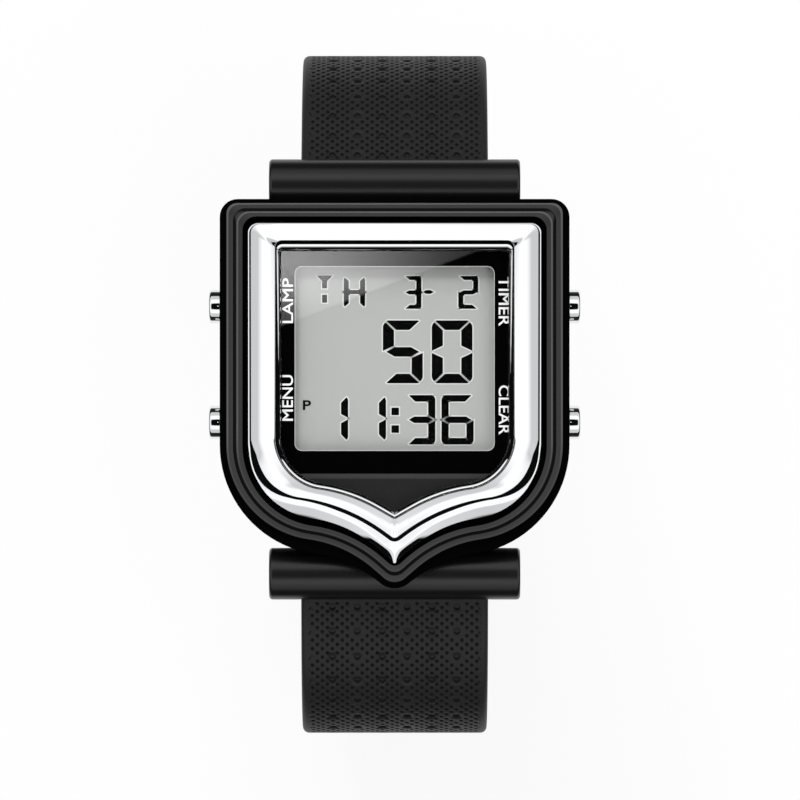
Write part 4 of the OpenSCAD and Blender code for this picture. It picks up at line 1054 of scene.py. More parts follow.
class WATCH_OT_chrome_bezel(bpy.types.Operator):
    """Models the bright ring: its outer shoulder, inner slope, groove and lip"""
    bl_idname = "watch.chrome_bezel"
    bl_label = "Chrome bezel"

    def execute(self, context):
        self.top = high("chrome_bezel").z
        line = outline(CREST)
        self.crest_out = pushed(line, CREST_OUTWARD)
        self.crest_in = pushed(line, [(at, -width) for at, width in CREST_INWARD])
        rings = [level(inset(CHROME_EDGE, RING_GAP), CHROME_Z)]
        rings += self.flank()
        crest = len(rings) - 1
        rings += self.bank()
        brink = len(rings) - 1
        rings += self.groove()
        piece = smooth(loft("chrome_ring", rings, closed=True), angle=50)
        crease(piece, (crest, crest + 1))
        ready(piece, "chrome", "case", "chrome", "chrome_bezel")
        # The groove's walls and floor get matte black painted shade
        paint_bands(piece, "painted_shade", [(brink, brink + DARK_GROOVE)])
        return {'FINISHED'}

    def flank(self):
        """Rings from the ring's outer edge up to its crest."""
        wide, narrow, side = (drop_table(t) for t in (WIDE_FLANK, POINT_FLANK, SIDE_FLANK))
        edge = np.array(outline(inset(CHROME_EDGE, RING_GAP)))
        lower = soft(-outward(edge)[:, 1], *FLANK_TURN)
        rings = []
        for share in FLANK_SHARES:
            points = edge + (self.crest_out - edge) * share
            x = np.abs(points[:, 0])
            off = distances(points, self.crest_out)
            spike = SPIKE["hold"] * np.exp(-(x / SPIKE["half_w"]) ** 2)
            off -= spike * np.maximum(off - SPIKE["start"], 0)
            drop = np.interp(off, *narrow)
            drop += (np.interp(off, *wide) - drop) * soft(x, *POINT_TURN)
            drop = drop * lower + np.interp(off, *side) * (1 - lower)
            rings.append(dropped(points, self.top, drop))
        skirt = [(x, y, z - SKIRT_DROP) for x, y, z in rings[0]]
        return [skirt] + rings

    def bank(self):
        """Rings from the crest's inner side down to the groove."""
        steep, gentle, cheek = drop_table(BANK), drop_table(TOP_BANK), drop_table(CHEEK_BANK)
        edge = np.array(outline(SLOPE))
        up = outward(edge)[:, 1]
        upper = soft(up, *TOP_TURN)
        lower = soft(-up, *CHEEK_TURN) * (1 - soft(-up, *CHEEK_END))
        rings = []
        for share in BANK_SHARES:
            points = self.crest_in + (edge - self.crest_in) * share
            near, far = distances(points, self.crest_in), distances(points, edge)
            width = near + far
            part = near / width
            drop = np.interp(part, *steep)
            drop += (np.interp(part, *cheek) - drop) * lower
            drop = width * (drop + (np.interp(part, *gentle) - drop) * upper)
            rings.append(dropped(points, self.top, drop))
        brink = outline(inset(SLOPE, RING_GAP))
        return rings + [[(x, y, p[2] - BRINK_DROP) for (x, y), p in zip(brink, rings[-1])]]

    def groove(self):
        """Rings of the groove, the lip beside the crystal and the inner wall."""
        floor_z, lip_z = CHROME_Z + GROOVE_FLOOR, CHROME_Z + LIP_TOP
        outer, edge = np.array(outline(LIP_OUTER)), np.array(outline(LIP_EDGE))
        shown = soft(np.abs(outward(outer)[:, 1]), *LIP_TURN)
        width = distances(outer, edge)
        rings = [level(inset(SLOPE, RING_GAP), floor_z), level(LIP_OUTER, floor_z),
                 level(LIP_OUTER, lip_z - LIP_CORNER)]
        lip = drop_table(LIP)
        for share in LIP_SHARES:
            points = outer + (edge - outer) * share
            steep = math.tan(math.radians(SIDE_LIP)) * share
            drop = width * (steep + (np.interp(share, *lip) - steep) * shown)
            rings.append(dropped(points, lip_z, drop))
        return rings + [level(LIP_EDGE, CHROME_Z)]


# The crystal's gap over the print, the chamfer of its lower edge, and the depth of its
# polished edge as a share of that edge's width
CRYSTAL_GAP = 0.04
CRYSTAL_CHAMFER = 0.05
POLISH_DEPTH = 0.9
# The case back: its inset from the rim, the rows of its edge as shares of the bevel inward and
# up, how far its field starts from its straight end, and the field's ridge inward and up
BACK_INSET = 1.0
BACK_EDGE = ((0.0, 1.2), (0.3, 0.45), (1.0, 0.0))
FIELD_START = 6
FIELD_RIDGE = ((0.0, 0.0), (0.12, 0.12), (0.5, 0.12), (0.62, 0.0))
# Places of its screws, their counterbore, and the profile of a screw: height over its lowest
# point and radius on the head, and height under its end and radius on the shank
SCREW_SPOTS = ((-14.9, 17.1), (14.9, 17.1), (-13.2, -11.4), (13.2, -11.4))
COUNTERBORE = {"r": 1.5, "depth": 0.7}
SCREW_HEAD = ((0.0, 1.05), (0.06, 1.25), (0.2, 1.38), (0.3, 1.4), (0.6, 1.4), (0.6, 0.7))
SCREW_SHANK = ((0.3, 0.7), (0.0, 0.4))
CROSS_SLOT = {"l": 1.9, "w": 0.36, "r": 0.1, "past": 0.5, "depth": 0.42, "turns": (20, 110)}


class WATCH_OT_crystal(bpy.types.Operator):
    """Models the flat crystal with its polished edge"""
    bl_idname = "watch.crystal"
    bl_label = "Crystal"

    def execute(self, context):
        bevel = context.scene.watch_sizes.crystal_bevel / MM
        bottom, top = FILM_TOP_Z + CRYSTAL_GAP, high("crystal").z
        rings = [
            level(inset(CRYSTAL_EDGE, CRYSTAL_CHAMFER), bottom),
            level(CRYSTAL_EDGE, bottom + CRYSTAL_CHAMFER),
            level(CRYSTAL_EDGE, top - bevel * POLISH_DEPTH),
            level(inset(CRYSTAL_EDGE, bevel), top),
        ]
        piece = smooth(loft("crystal_glass_plate", rings), angle=20)
        ready(piece, "crystal_glass", "case", "crystal_glass", "crystal")
        return {'FINISHED'}


class WATCH_OT_case_back(bpy.types.Operator):
    """Models the case back with its bevel, its raised field and its four screws"""
    bl_idname = "watch.case_back"
    bl_label = "Case back"

    def execute(self, context):
        bevel = context.scene.watch_sizes.back_bevel / MM
        edge = inset(RIM, BACK_INSET)
        end = low("case_back").y
        rings = [level(clipped(edge, end), BODY_Z)]
        rings += [level(clipped(inset(edge, bevel * d), end + bevel * d), BACK_Z + bevel * z)
                  for d, z in BACK_EDGE]
        rings += [level(clipped(inset(BACK_FIELD, d), end + FIELD_START + d), BACK_Z + z)
                  for d, z in FIELD_RIDGE]
        plate = loft("case_back_plate", rings)
        bore = [(BACK_Z - PAST, COUNTERBORE["r"]), (BACK_Z + COUNTERBORE["depth"], COUNTERBORE["r"])]
        cutters = [turned("counterbore", bore, count=32, axis='Z', centre=(x, y, 0))
                   for x, y in SCREW_SPOTS]
        cut(plate, join("counterbores", *cutters))
        ready(smooth(plate, angle=25), "back_steel", "case", "back_steel", "case_back")
        screws = [self.screw(x, y) for x, y in SCREW_SPOTS]
        piece = smooth(join("back_screws", *screws), angle=30)
        ready(piece, "bright_steel", "case", "bright_steel", "case_back_screws")
        return {'FINISHED'}

    def screw(self, x, y):
        """A screw with a cross slot, its head towards the wrist."""
        bottom, top = low("case_back_screws").z, high("case_back_screws").z
        profile = [(bottom + z, r) for z, r in SCREW_HEAD]
        profile += [(top - z, r) for z, r in SCREW_SHANK]
        screw = turned("screw", profile, count=32, axis='Z', centre=(x, y, 0))
        face = rounded_outline(CROSS_SLOT["l"], CROSS_SLOT["w"], CROSS_SLOT["r"], 2)
        for angle in CROSS_SLOT["turns"]:
            slot = prism("slot", face, -CROSS_SLOT["past"], CROSS_SLOT["depth"])
            place(slot, move(x, y, bottom) @ turn(angle, 'Z'))
            cut(screw, slot)
        return screw


# Display

# Segments of a character: top, upper right, lower right, bottom, lower left, upper left, middle
DIGITS = {
    "0": (0, 1, 2, 3, 4, 5), "1": (1, 2), "2": (0, 1, 3, 4, 6), "3": (0, 1, 2, 3, 6),
    "5": (0, 2, 3, 5, 6), "6": (0, 2, 3, 4, 5, 6), "H": (1, 2, 4, 5, 6), "-": (6,),
}
# Stroke of the side segments, stroke of the level ones and gap between them, in mm
STROKES = {"time": (0.8, 0.73, 0.14), "big": (1.25, 1.07, 0.15), "small": (0.56, 0.45, 0.1)}
# Place across, place up, width and height in shares of the visible width and height, and stroke
SHOWN = (
    ("1", 0.110, 0.052, 0.157, 0.245, "time"), ("1", 0.300, 0.052, 0.157, 0.245, "time"),
    ("3", 0.560, 0.034, 0.144, 0.268, "time"), ("6", 0.735, 0.034, 0.161, 0.268, "time"),
    ("5", 0.441, 0.366, 0.200, 0.341, "big"), ("0", 0.686, 0.366, 0.204, 0.341, "big"),
    ("T", 0.109, 0.801, 0.080, 0.150, "small"), ("H", 0.245, 0.778, 0.107, 0.166, "small"),
    ("3", 0.546, 0.770, 0.088, 0.178, "small"), ("2", 0.819, 0.770, 0.100, 0.178, "small"),
    ("-", 0.633, 0.825, 0.072, 0.073, "small"),
)
# The letter for the afternoon in the same shares, and the two dots of the time
AFTERNOON = (0.040, 0.221, 0.041, 0.053)
DOTS = {"x": 0.484, "y": (0.097, 0.193), "size": 0.038}
# The mask's window in mm: its size, the place of its middle, its corners, and the light line
# inside it with the gap round it
VIEW = {"w": 22.3, "h": 20.6, "y": 3.85, "r": 0.8, "line": 0.06, "gap": 0.01}
# Corners at the end of a level segment and of an upright one, in strokes across and up
LEVEL_END = ((0.42, 0.0), (0.33, 0.07), (1.2, 1.0))
UPRIGHT_END = ((0.0, 0.62), (0.12, 0.3), (0.26, 0.22), (1.0, 1.05))
# Tip and shoulder of the middle segment, and how far an upright ends under it, in strokes
MIDDLE_TIP = 0.3
MIDDLE_SHOULDER = 1.05
UPRIGHT_STOP = 0.1
# The letter T in mm: half width of its cap's lower edge and the cap's height, half width of its
# stem, and the depths under its top at which the stem's two blocks start and end
T_CAP = (0.467, 0.457)
T_STEM = 0.28
T_BLOCKS = ((0.59, 1.436), (2.15, 3.04))
# Lifts over the rear of the ink layer: of the pale edges, of the ink, and the gap between them
PAD_LIFT = 0.004
BAR_LIFT = 0.03
PAD_GAP = 0.002
CELL_CORNER_R = 0.1
# Each label with its place across and up, its length, and its turn in degrees
LABELS = (
    ("LAMP", -11.93, 10.3, 5.0, 90), ("MENU", -11.93, -0.55, 5.1, 90),
    ("TIMER", 12.2, 10.2, 5.5, -90), ("CLEAR", 12.2, -1.9, 5.5, -90),
)
LABEL_T = 0.02
LABEL_LIFT = 0.012
# Depth of a letter before it is fitted, and how much its strokes are widened
LETTER_DEPTH = 0.01
LETTER_BOLD = 0.02
LABEL_BOLD = 0.012


def segment_shape(index, w, h, side, bar, gap):
    """Corners of one segment of a character whose lower left corner is at the origin."""
    mid = h / 2
    if index in (0, 3):
        shape = [(w - x * side, y * bar) for x, y in LEVEL_END]
        shape += [(x * side, y * bar) for x, y in reversed(LEVEL_END)]
        return [(x, h - y) for x, y in reversed(shape)] if index == 0 else shape
    if index == 6:
        half, tip, shoulder = bar / 2, MIDDLE_TIP * side, MIDDLE_SHOULDER * side
        return [(tip, mid), (shoulder, mid - half), (w - shoulder, mid - half),
                (w - tip, mid), (w - shoulder, mid + half), (shoulder, mid + half)]
    right, upper = index in (1, 2), index in (1, 5)
    shape = [(x * side, y * bar) for x, y in UPRIGHT_END]
    shape += [(side, mid - bar / 2 - gap), (0, mid - UPRIGHT_STOP * bar)]
    if upper:
        shape = [(x, h - y) for x, y in reversed(shape)]
    if right:
        shape = [(w - x, y) for x, y in reversed(shape)]
    return shape


def letter_t(w, h):
    """The three blocks of the letter T."""
    c = w / 2
    cap_half, cap_h = T_CAP
    cap = [(c - cap_half, h - cap_h), (c + cap_half, h - cap_h), (w, h), (0, h)]
    blocks = [[(c - T_STEM, h - end), (c + T_STEM, h - end), (c + T_STEM, h - start),
               (c - T_STEM, h - start)] for start, end in T_BLOCKS]
    return [cap] + blocks


def grown(shape, by):
    """A polygon, counted anticlockwise, with every side moved out."""
    points = np.array(shape)
    sides = np.roll(points, -1, axis=0) - points
    away = np.stack([sides[:, 1], -sides[:, 0]], axis=1)
    away /= np.linalg.norm(away, axis=1, keepdims=True)
    before = np.roll(away, 1, axis=0)
    spread = np.maximum(1 + (away * before).sum(1, keepdims=True), 0.5)
    return [tuple(point) for point in points + by * (away + before) / spread]


def glyph(name, text, bold):
    """Letters as a flat mesh."""
    deselect()
    bpy.ops.object.text_add()
    made = bpy.context.object
    made.data.body = text
    made.data.align_x, made.data.align_y = 'CENTER', 'CENTER'
    made.data.extrude = LETTER_DEPTH
    made.data.offset = bold
    bpy.ops.object.convert(target='MESH')
    return named(name)


def fit(piece, w, h, t):
    """Fits a piece to a size round the origin, in mm."""
    points = np.array([v.co for v in piece.data.vertices])
    lo, hi = points.min(0), points.max(0)
    size = np.maximum(hi - lo, 1e-9)
    put_points(piece, (points - (lo + hi) / 2) * np.array((w, h, t)) / size)
    return piece


class WATCH_OT_display(bpy.types.Operator):
    """Models the characters, their pale edges, the display's front glass and its border"""
    bl_idname = "watch.display"
    bl_label = "Display characters"

    def execute(self, context):
        left, floor = -VIEW["w"] / 2, VIEW["y"] - VIEW["h"] / 2
        shapes = []
        for sign, x, y, w, h, stroke in SHOWN:
            w, h = w * VIEW["w"], h * VIEW["h"]
            parts = letter_t(w, h) if sign == "T" else [
                segment_shape(index, w, h, *STROKES[stroke]) for index in DIGITS[sign]]
            shapes += [shifted(part, left + x * VIEW["w"], floor + y * VIEW["h"])
                       for part in parts]
        dot = DOTS["size"] * VIEW["w"]
        for y in DOTS["y"]:
            square = [(0, 0), (dot, 0), (dot, dot), (0, dot)]
            shapes.append(shifted(square, left + DOTS["x"] * VIEW["w"], floor + y * VIEW["h"]))
        pad_z, bar_z, top_z = INK_Z[0] + PAD_LIFT, INK_Z[0] + BAR_LIFT, INK_Z[1]
        bars = [prism("segment", shape, bar_z, top_z) for shape in shapes]
        x, y, w, h = AFTERNOON
        letter = fit(glyph("letter", "P", LETTER_BOLD),
                     w * VIEW["w"], h * VIEW["h"], top_z - bar_z)
        place(letter, move(left + (x + w / 2) * VIEW["w"], floor + (y + h / 2) * VIEW["h"],
                           (bar_z + top_z) / 2))
        piece = join("display_characters", *bars, letter)
        ready(piece, "segment_ink", "case", "segment_ink", "lcd_segments")
        halo = context.scene.watch_sizes.halo / MM
        pads = [prism("halo", grown(shape, halo), pad_z, bar_z - PAD_GAP) for shape in shapes]
        ready(join("display_halos", *pads), "display_halo", "case", "display_glass")
        self.border()
        self.cell()
        return {'FINISHED'}

    def cell(self):
        """The front glass with the polarizing film bonded to it."""
        rings = []
        for node in ("lcd_front_glass", "lcd_front_polarizer"):
            lo, hi = low(node), high(node)
            sheet = shifted(rounded_outline(hi.x - lo.x, hi.y - lo.y, CELL_CORNER_R, 2),
                            middle(node, "x"), middle(node, "y"))
            rings += [level(sheet, lo.z), level(sheet, hi.z)]
        ready(loft("display_cell", rings), "display_glass", "case", "display_glass",
              "lcd_front_glass", "lcd_front_polarizer")

    def border(self):
        """The thin light line inside the mask's window."""
        w, h, r, line, gap = (VIEW[key] for key in ("w", "h", "r", "line", "gap"))
        outer = shifted(rounded_outline(w - gap, h - gap, r, 10), 0, VIEW["y"])
        inner = shifted(rounded_outline(w - 2 * line, h - 2 * line, r - line, 10), 0, VIEW["y"])
        bottom, top = low("display_mask").z, FILM_TOP_Z
        rings = [level(outer, bottom), level(outer, top), level(inner, top), level(inner, bottom)]
        ready(loft("display_border", rings, closed=True), "display_halo", "case", "mask_print")


class WATCH_OT_labels(bpy.types.Operator):
    """Models the four plain words beside the display"""
    bl_idname = "watch.labels"
    bl_label = "Labels"

    def execute(self, context):
        height = context.scene.watch_sizes.label_height / MM
        words = []
        for word, x, y, span, angle in LABELS:
            made = fit(glyph("label", word, LABEL_BOLD), span, height, LABEL_T)
            words.append(place(made, move(x, y, FILM_TOP_Z + LABEL_LIFT) @ turn(angle, 'Z')))
        piece = join("dial_labels", *words)
        ready(piece, "label_print", "case", "mask_print")
        return {'FINISHED'}


# Buttons

# Each button's name, side and place along the case
BUTTONS = (
    ("light", -1, BUTTON_HIGH_Y), ("mode", -1, BUTTON_LOW_Y),
    ("start", 1, BUTTON_HIGH_Y), ("reset", 1, BUTTON_LOW_Y),
)
# A button's profile: distance from the stem's end and radius; distance from the case's middle
# and radius, with the clip's groove and the cap's foot; distance back from the tip and radius
STEM_END = ((0.0, 0.6), (0.15, 0.8))
STEM = ((14.88, 0.8), (14.9, 0.6), (15.15, 0.6), (15.17, 0.8), (18.4, 0.8), (18.4, 1.7),
        (18.5, 1.86), (18.62, 1.9))
CAP = ((0.42, 1.9), (0.3, 1.88), (0.2, 1.82), (0.14, 1.7), (0.1, 1.5), (0.04, 1.0), (0.01, 0.5),
       (0.0, 0.12))
# Each end of the spring bars: its name, side and place
BAR_ENDS = (
    ("upper_left", -1, UPPER_PIVOT_Y), ("upper_right", 1, UPPER_PIVOT_Y),
    ("lower_left", -1, -LOWER_PIVOT_Y), ("lower_right", 1, -LOWER_PIVOT_Y),
)
# Springs, with their radius to the middle of the wire
BUTTON_SPRING = {"radius": 1.375, "turns": 4}
BAR_SPRING = {"radius": 0.39, "wire": 0.16, "turns": 26, "steps": 12}
SOUNDER_SPRING = {"radius": 0.65, "wire": 0.28, "turns": 5}


class WATCH_OT_buttons(bpy.types.Operator):
    """Turns the four chrome push-buttons with their stems"""
    bl_idname = "watch.buttons"
    bl_label = "Buttons"

    def execute(self, context):
        stem, tip = low("start_button").x, high("start_button").x
        profile = [(stem + x, r) for x, r in STEM_END] + list(STEM)
        profile += [(tip - x, r) for x, r in CAP]
        master = smooth(turned("button", profile, count=64), angle=35)
        for name, side, y in BUTTONS:
            piece = sided_copy(master, name + "_push_button", side, y, BUTTON_Z)
            ready(piece, "chrome", name + "_button", "chrome", name + "_button")
        bpy.data.objects.remove(master, do_unlink=True)
        return {'FINISHED'}


def coil(start, end, radius, wire, turns, steps=20):
    """A wound spring along X from start to end, made by a screw of its wire's section."""
    deselect()
    bpy.ops.mesh.primitive_circle_add(vertices=8, radius=wire / 2 * MM, fill_type='NGON')
    piece = named("spring")
    place(piece, move(radius, 0, wire / 2) @ turn(90, 'X'))
    pitch = (end - start - wire) / turns
    apply_modifier(piece, 'SCREW', axis='Z', angle=2 * math.pi, iterations=turns,
                   screw_offset=pitch * MM, steps=steps, render_steps=steps,
                   use_merge_vertices=False)
    activate(piece)
    bpy.ops.object.mode_set(mode='EDIT')
    tidy_mesh()
    place(piece, move(start, 0, 0) @ turn(90, 'Y'))
    return smooth(piece, angle=60)


class WATCH_OT_springs(bpy.types.Operator):
    """Winds the springs of the buttons, the spring bars and the sounding disc"""
    bl_idname = "watch.springs"
    bl_label = "Springs"

    def execute(self, context):
        wire = context.scene.watch_sizes.spring_wire / MM
        first, last = low("start_button_spring").x, high("start_button_spring").x
        master = coil(first, last, wire=wire, **BUTTON_SPRING)
        for name, side, y in BUTTONS:
            piece = sided_copy(master, name + "_return_spring", side, y, BUTTON_Z)
            ready(piece, "spring_steel", "case", "spring_steel", name + "_button_spring")
            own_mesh(piece)
        bpy.data.objects.remove(master, do_unlink=True)
        master = coil(0.0, high("spring_bar_springs").x, **BAR_SPRING)
        for name, side, y in BAR_ENDS:
            piece = sided_copy(master, name + "_bar_spring", side, y, PIVOT_Z)
            ready(piece, "spring_steel", "case", "spring_steel", "spring_bar_springs")
            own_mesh(piece)
        bpy.data.objects.remove(master, do_unlink=True)
        lo, hi = low("piezo_spring"), high("piezo_spring")
        piece = join("sounder_spring", coil(0.0, hi.z - lo.z, **SOUNDER_SPRING))
        place(piece, move(middle("piezo_spring", "x"), middle("piezo_spring", "y"), lo.z)
              @ turn(-90, 'Y'))
        ready(piece, "spring_steel", "case", "spring_steel", "piezo_spring")
        return {'FINISHED'}


# Strap

# The strap in mm: width at the case and at the buckle, thickness, and radius of its edges
STRAP = {"w": 21.0, "end_w": 18.0, "t": 2.6, "edge": 0.7}
# Each half in mm and degrees: its straight root and that root's downward slope, its bend, and
# its straight tail; the upper half has a short straight run before its bend
UPPER_ROOT, UPPER_SLOPE, UPPER_RUN, UPPER_BEND_R, UPPER_TAIL = 7.5, 36, 2.0, 20.0, 12.0
LOWER_ROOT, LOWER_SLOPE, LOWER_BEND_R, LOWER_TAIL = 6.35, 12, 30.0, 30.0
LOWER_TIP_R = 7.0
# Where the first large dimples are and where the pattern starts and ends, along each half
UPPER_PATTERN = {"first_large": 2.83, "field": (2.2, 47.0)}
LOWER_PATTERN = {"first_large": 3.1, "field": (2.4, 59.0)}
# Points round the strap: steps of a rounded edge and of half its back, the smallest radius of
# an edge, and the least flat beside it. Along the strap: rows that share one step where it is
# plain, and distances of the last rows from its end
EDGE_STEPS = 6
BACK_STEPS = 4
MIN_EDGE_R = 0.02
SIDE_FLAT = 0.05
PLAIN_STEP = 3
TIP_ROWS = (0.7, 0.5, 0.35, 0.22, 0.12, 0.05, 0.015)
TIP_START = 0.8
# Greatest distance of an end's points from its middle
END_REACH = 12.5
# The rolled ends: their bore, their radius, and their edge as distance inward and loss of radius
BAR_BORE_R = 0.82
ROOT_ROLL_R = 1.9
BUCKLE_ROLL_R = 1.8
ROLL_EDGE = ((0.0, 0.3), (0.1, 0.08), (0.3, 0.0))
PRONG_SLOT = {"w": 2.8, "l": 10.0, "r": 0.7, "depth": 5}
# The strap's holes: how many, distance of the first from the tip, pitch, and profile as height
# over the strap's middle and radius
HOLES = {"count": 8, "first": 13.0, "pitch": 6.0}
HOLE_PROFILE = ((-2.0, 1.2), (-1.3, 1.16), (-1.1, 1.05), (1.1, 1.05), (1.3, 1.16), (2.0, 1.2))


def bend(r, degrees):
    return (r * math.radians(degrees), degrees)


def arc_radius(pivot_y, root, slope):
    """Radius of the arc that carries a half from its root to the strap's widest reach."""
    t = math.radians(slope)
    return (REACH - STRAP["t"] / 2 - pivot_y - root * math.cos(t)) / (1 - math.sin(t))


class Path:
    """A strap's middle line: a start pose and pieces of (length, turn)."""

    def __init__(self, start, pieces):
        self.start, self.pieces = start, pieces
        self.length = sum(p[0] for p in pieces)

    def pose(self, d):
        """Distance out, height and downward slope in radians at a distance along the strap."""
        out, z, slope = self.start[0], self.start[1], math.radians(self.start[2])
        for size, turned_by in self.pieces:
            part = min(d, size)
            if turned_by == 0:
                out += part * math.cos(slope)
                z -= part * math.sin(slope)
            else:
                r = size / math.radians(turned_by)
                end = slope + part / r
                out += r * (math.sin(end) - math.sin(slope))
                z -= r * (math.cos(slope) - math.cos(end))
                slope = end
            d -= part
            if d <= 1e-9:
                break
        return out, z, slope


UPPER_R = arc_radius(UPPER_PIVOT_Y, UPPER_ROOT, UPPER_SLOPE)
UPPER = Path((UPPER_PIVOT_Y, PIVOT_Z, UPPER_SLOPE), [
    (UPPER_ROOT, 0), bend(UPPER_R, 90 - UPPER_SLOPE), (UPPER_RUN, 0), bend(UPPER_BEND_R, 90),
    (UPPER_TAIL, 0)])
LOWER_R = arc_radius(LOWER_PIVOT_Y, LOWER_ROOT, LOWER_SLOPE)
LOWER_DROP = (PIVOT_Z - STRAP["t"] / 2 - LOWER_ROOT * math.sin(math.radians(LOWER_SLOPE))
              - LOWER_R * math.cos(math.radians(LOWER_SLOPE)) - LOWER_BEND_R)
LOWER = Path((LOWER_PIVOT_Y, PIVOT_Z, LOWER_SLOPE), [
    (LOWER_ROOT, 0), bend(LOWER_R, 90 - LOWER_SLOPE), (LOWER_DROP, 0), bend(LOWER_BEND_R, 90),
    (LOWER_TAIL, 0)])
# Where each half starts and ends getting narrower
UPPER_TAPER = (UPPER_ROOT + UPPER.pieces[1][0],
               UPPER.length - UPPER_TAIL - UPPER.pieces[3][0] / 2)
LOWER_TAPER = (LOWER_ROOT + LOWER.pieces[1][0], LOWER.length - LOWER_TAIL)


def beside(pose, side, x, along, n):
    """A point across a strap, along it and off its middle line, from a pose of that line."""
    out, z, slope = pose
    return (x, side * (out + along * math.cos(slope) + n * math.sin(slope)),
            z - along * math.sin(slope) + n * math.cos(slope))


def rows_off(j):
    """Rows from a lattice row to the nearest row of large dimples."""
    return (j + LARGE_ROWS // 2) % LARGE_ROWS - LARGE_ROWS // 2


def is_small(i, j):
    """Whether a small dimple is at a lattice point; those next to a large one are left out."""
    if i % 2 == 0 or abs(i) > LAST_COLUMN:
        return False
    k = (i - 1) // 2
    if (j - (0 if k % 2 else SMALL_ROWS // 2)) % SMALL_ROWS:
        return False
    for column in LARGE_COLUMNS:
        reach = 2 if ((column - 1) // 2) % 2 == 0 else 0
        if abs(i - column) + abs(rows_off(j)) <= reach:
            return False
    return True


def pit_depth(i, j, small, large):
    """Depth of the pattern at a lattice point."""
    for column in LARGE_COLUMNS:
        off = math.hypot((i - column) * ACROSS, rows_off(j) * ALONG)
        if off < LARGE_R:
            return large * (1 - RIM_LOSS * (off / LARGE_R) ** 2)
    return small if is_small(i, j) else 0.0


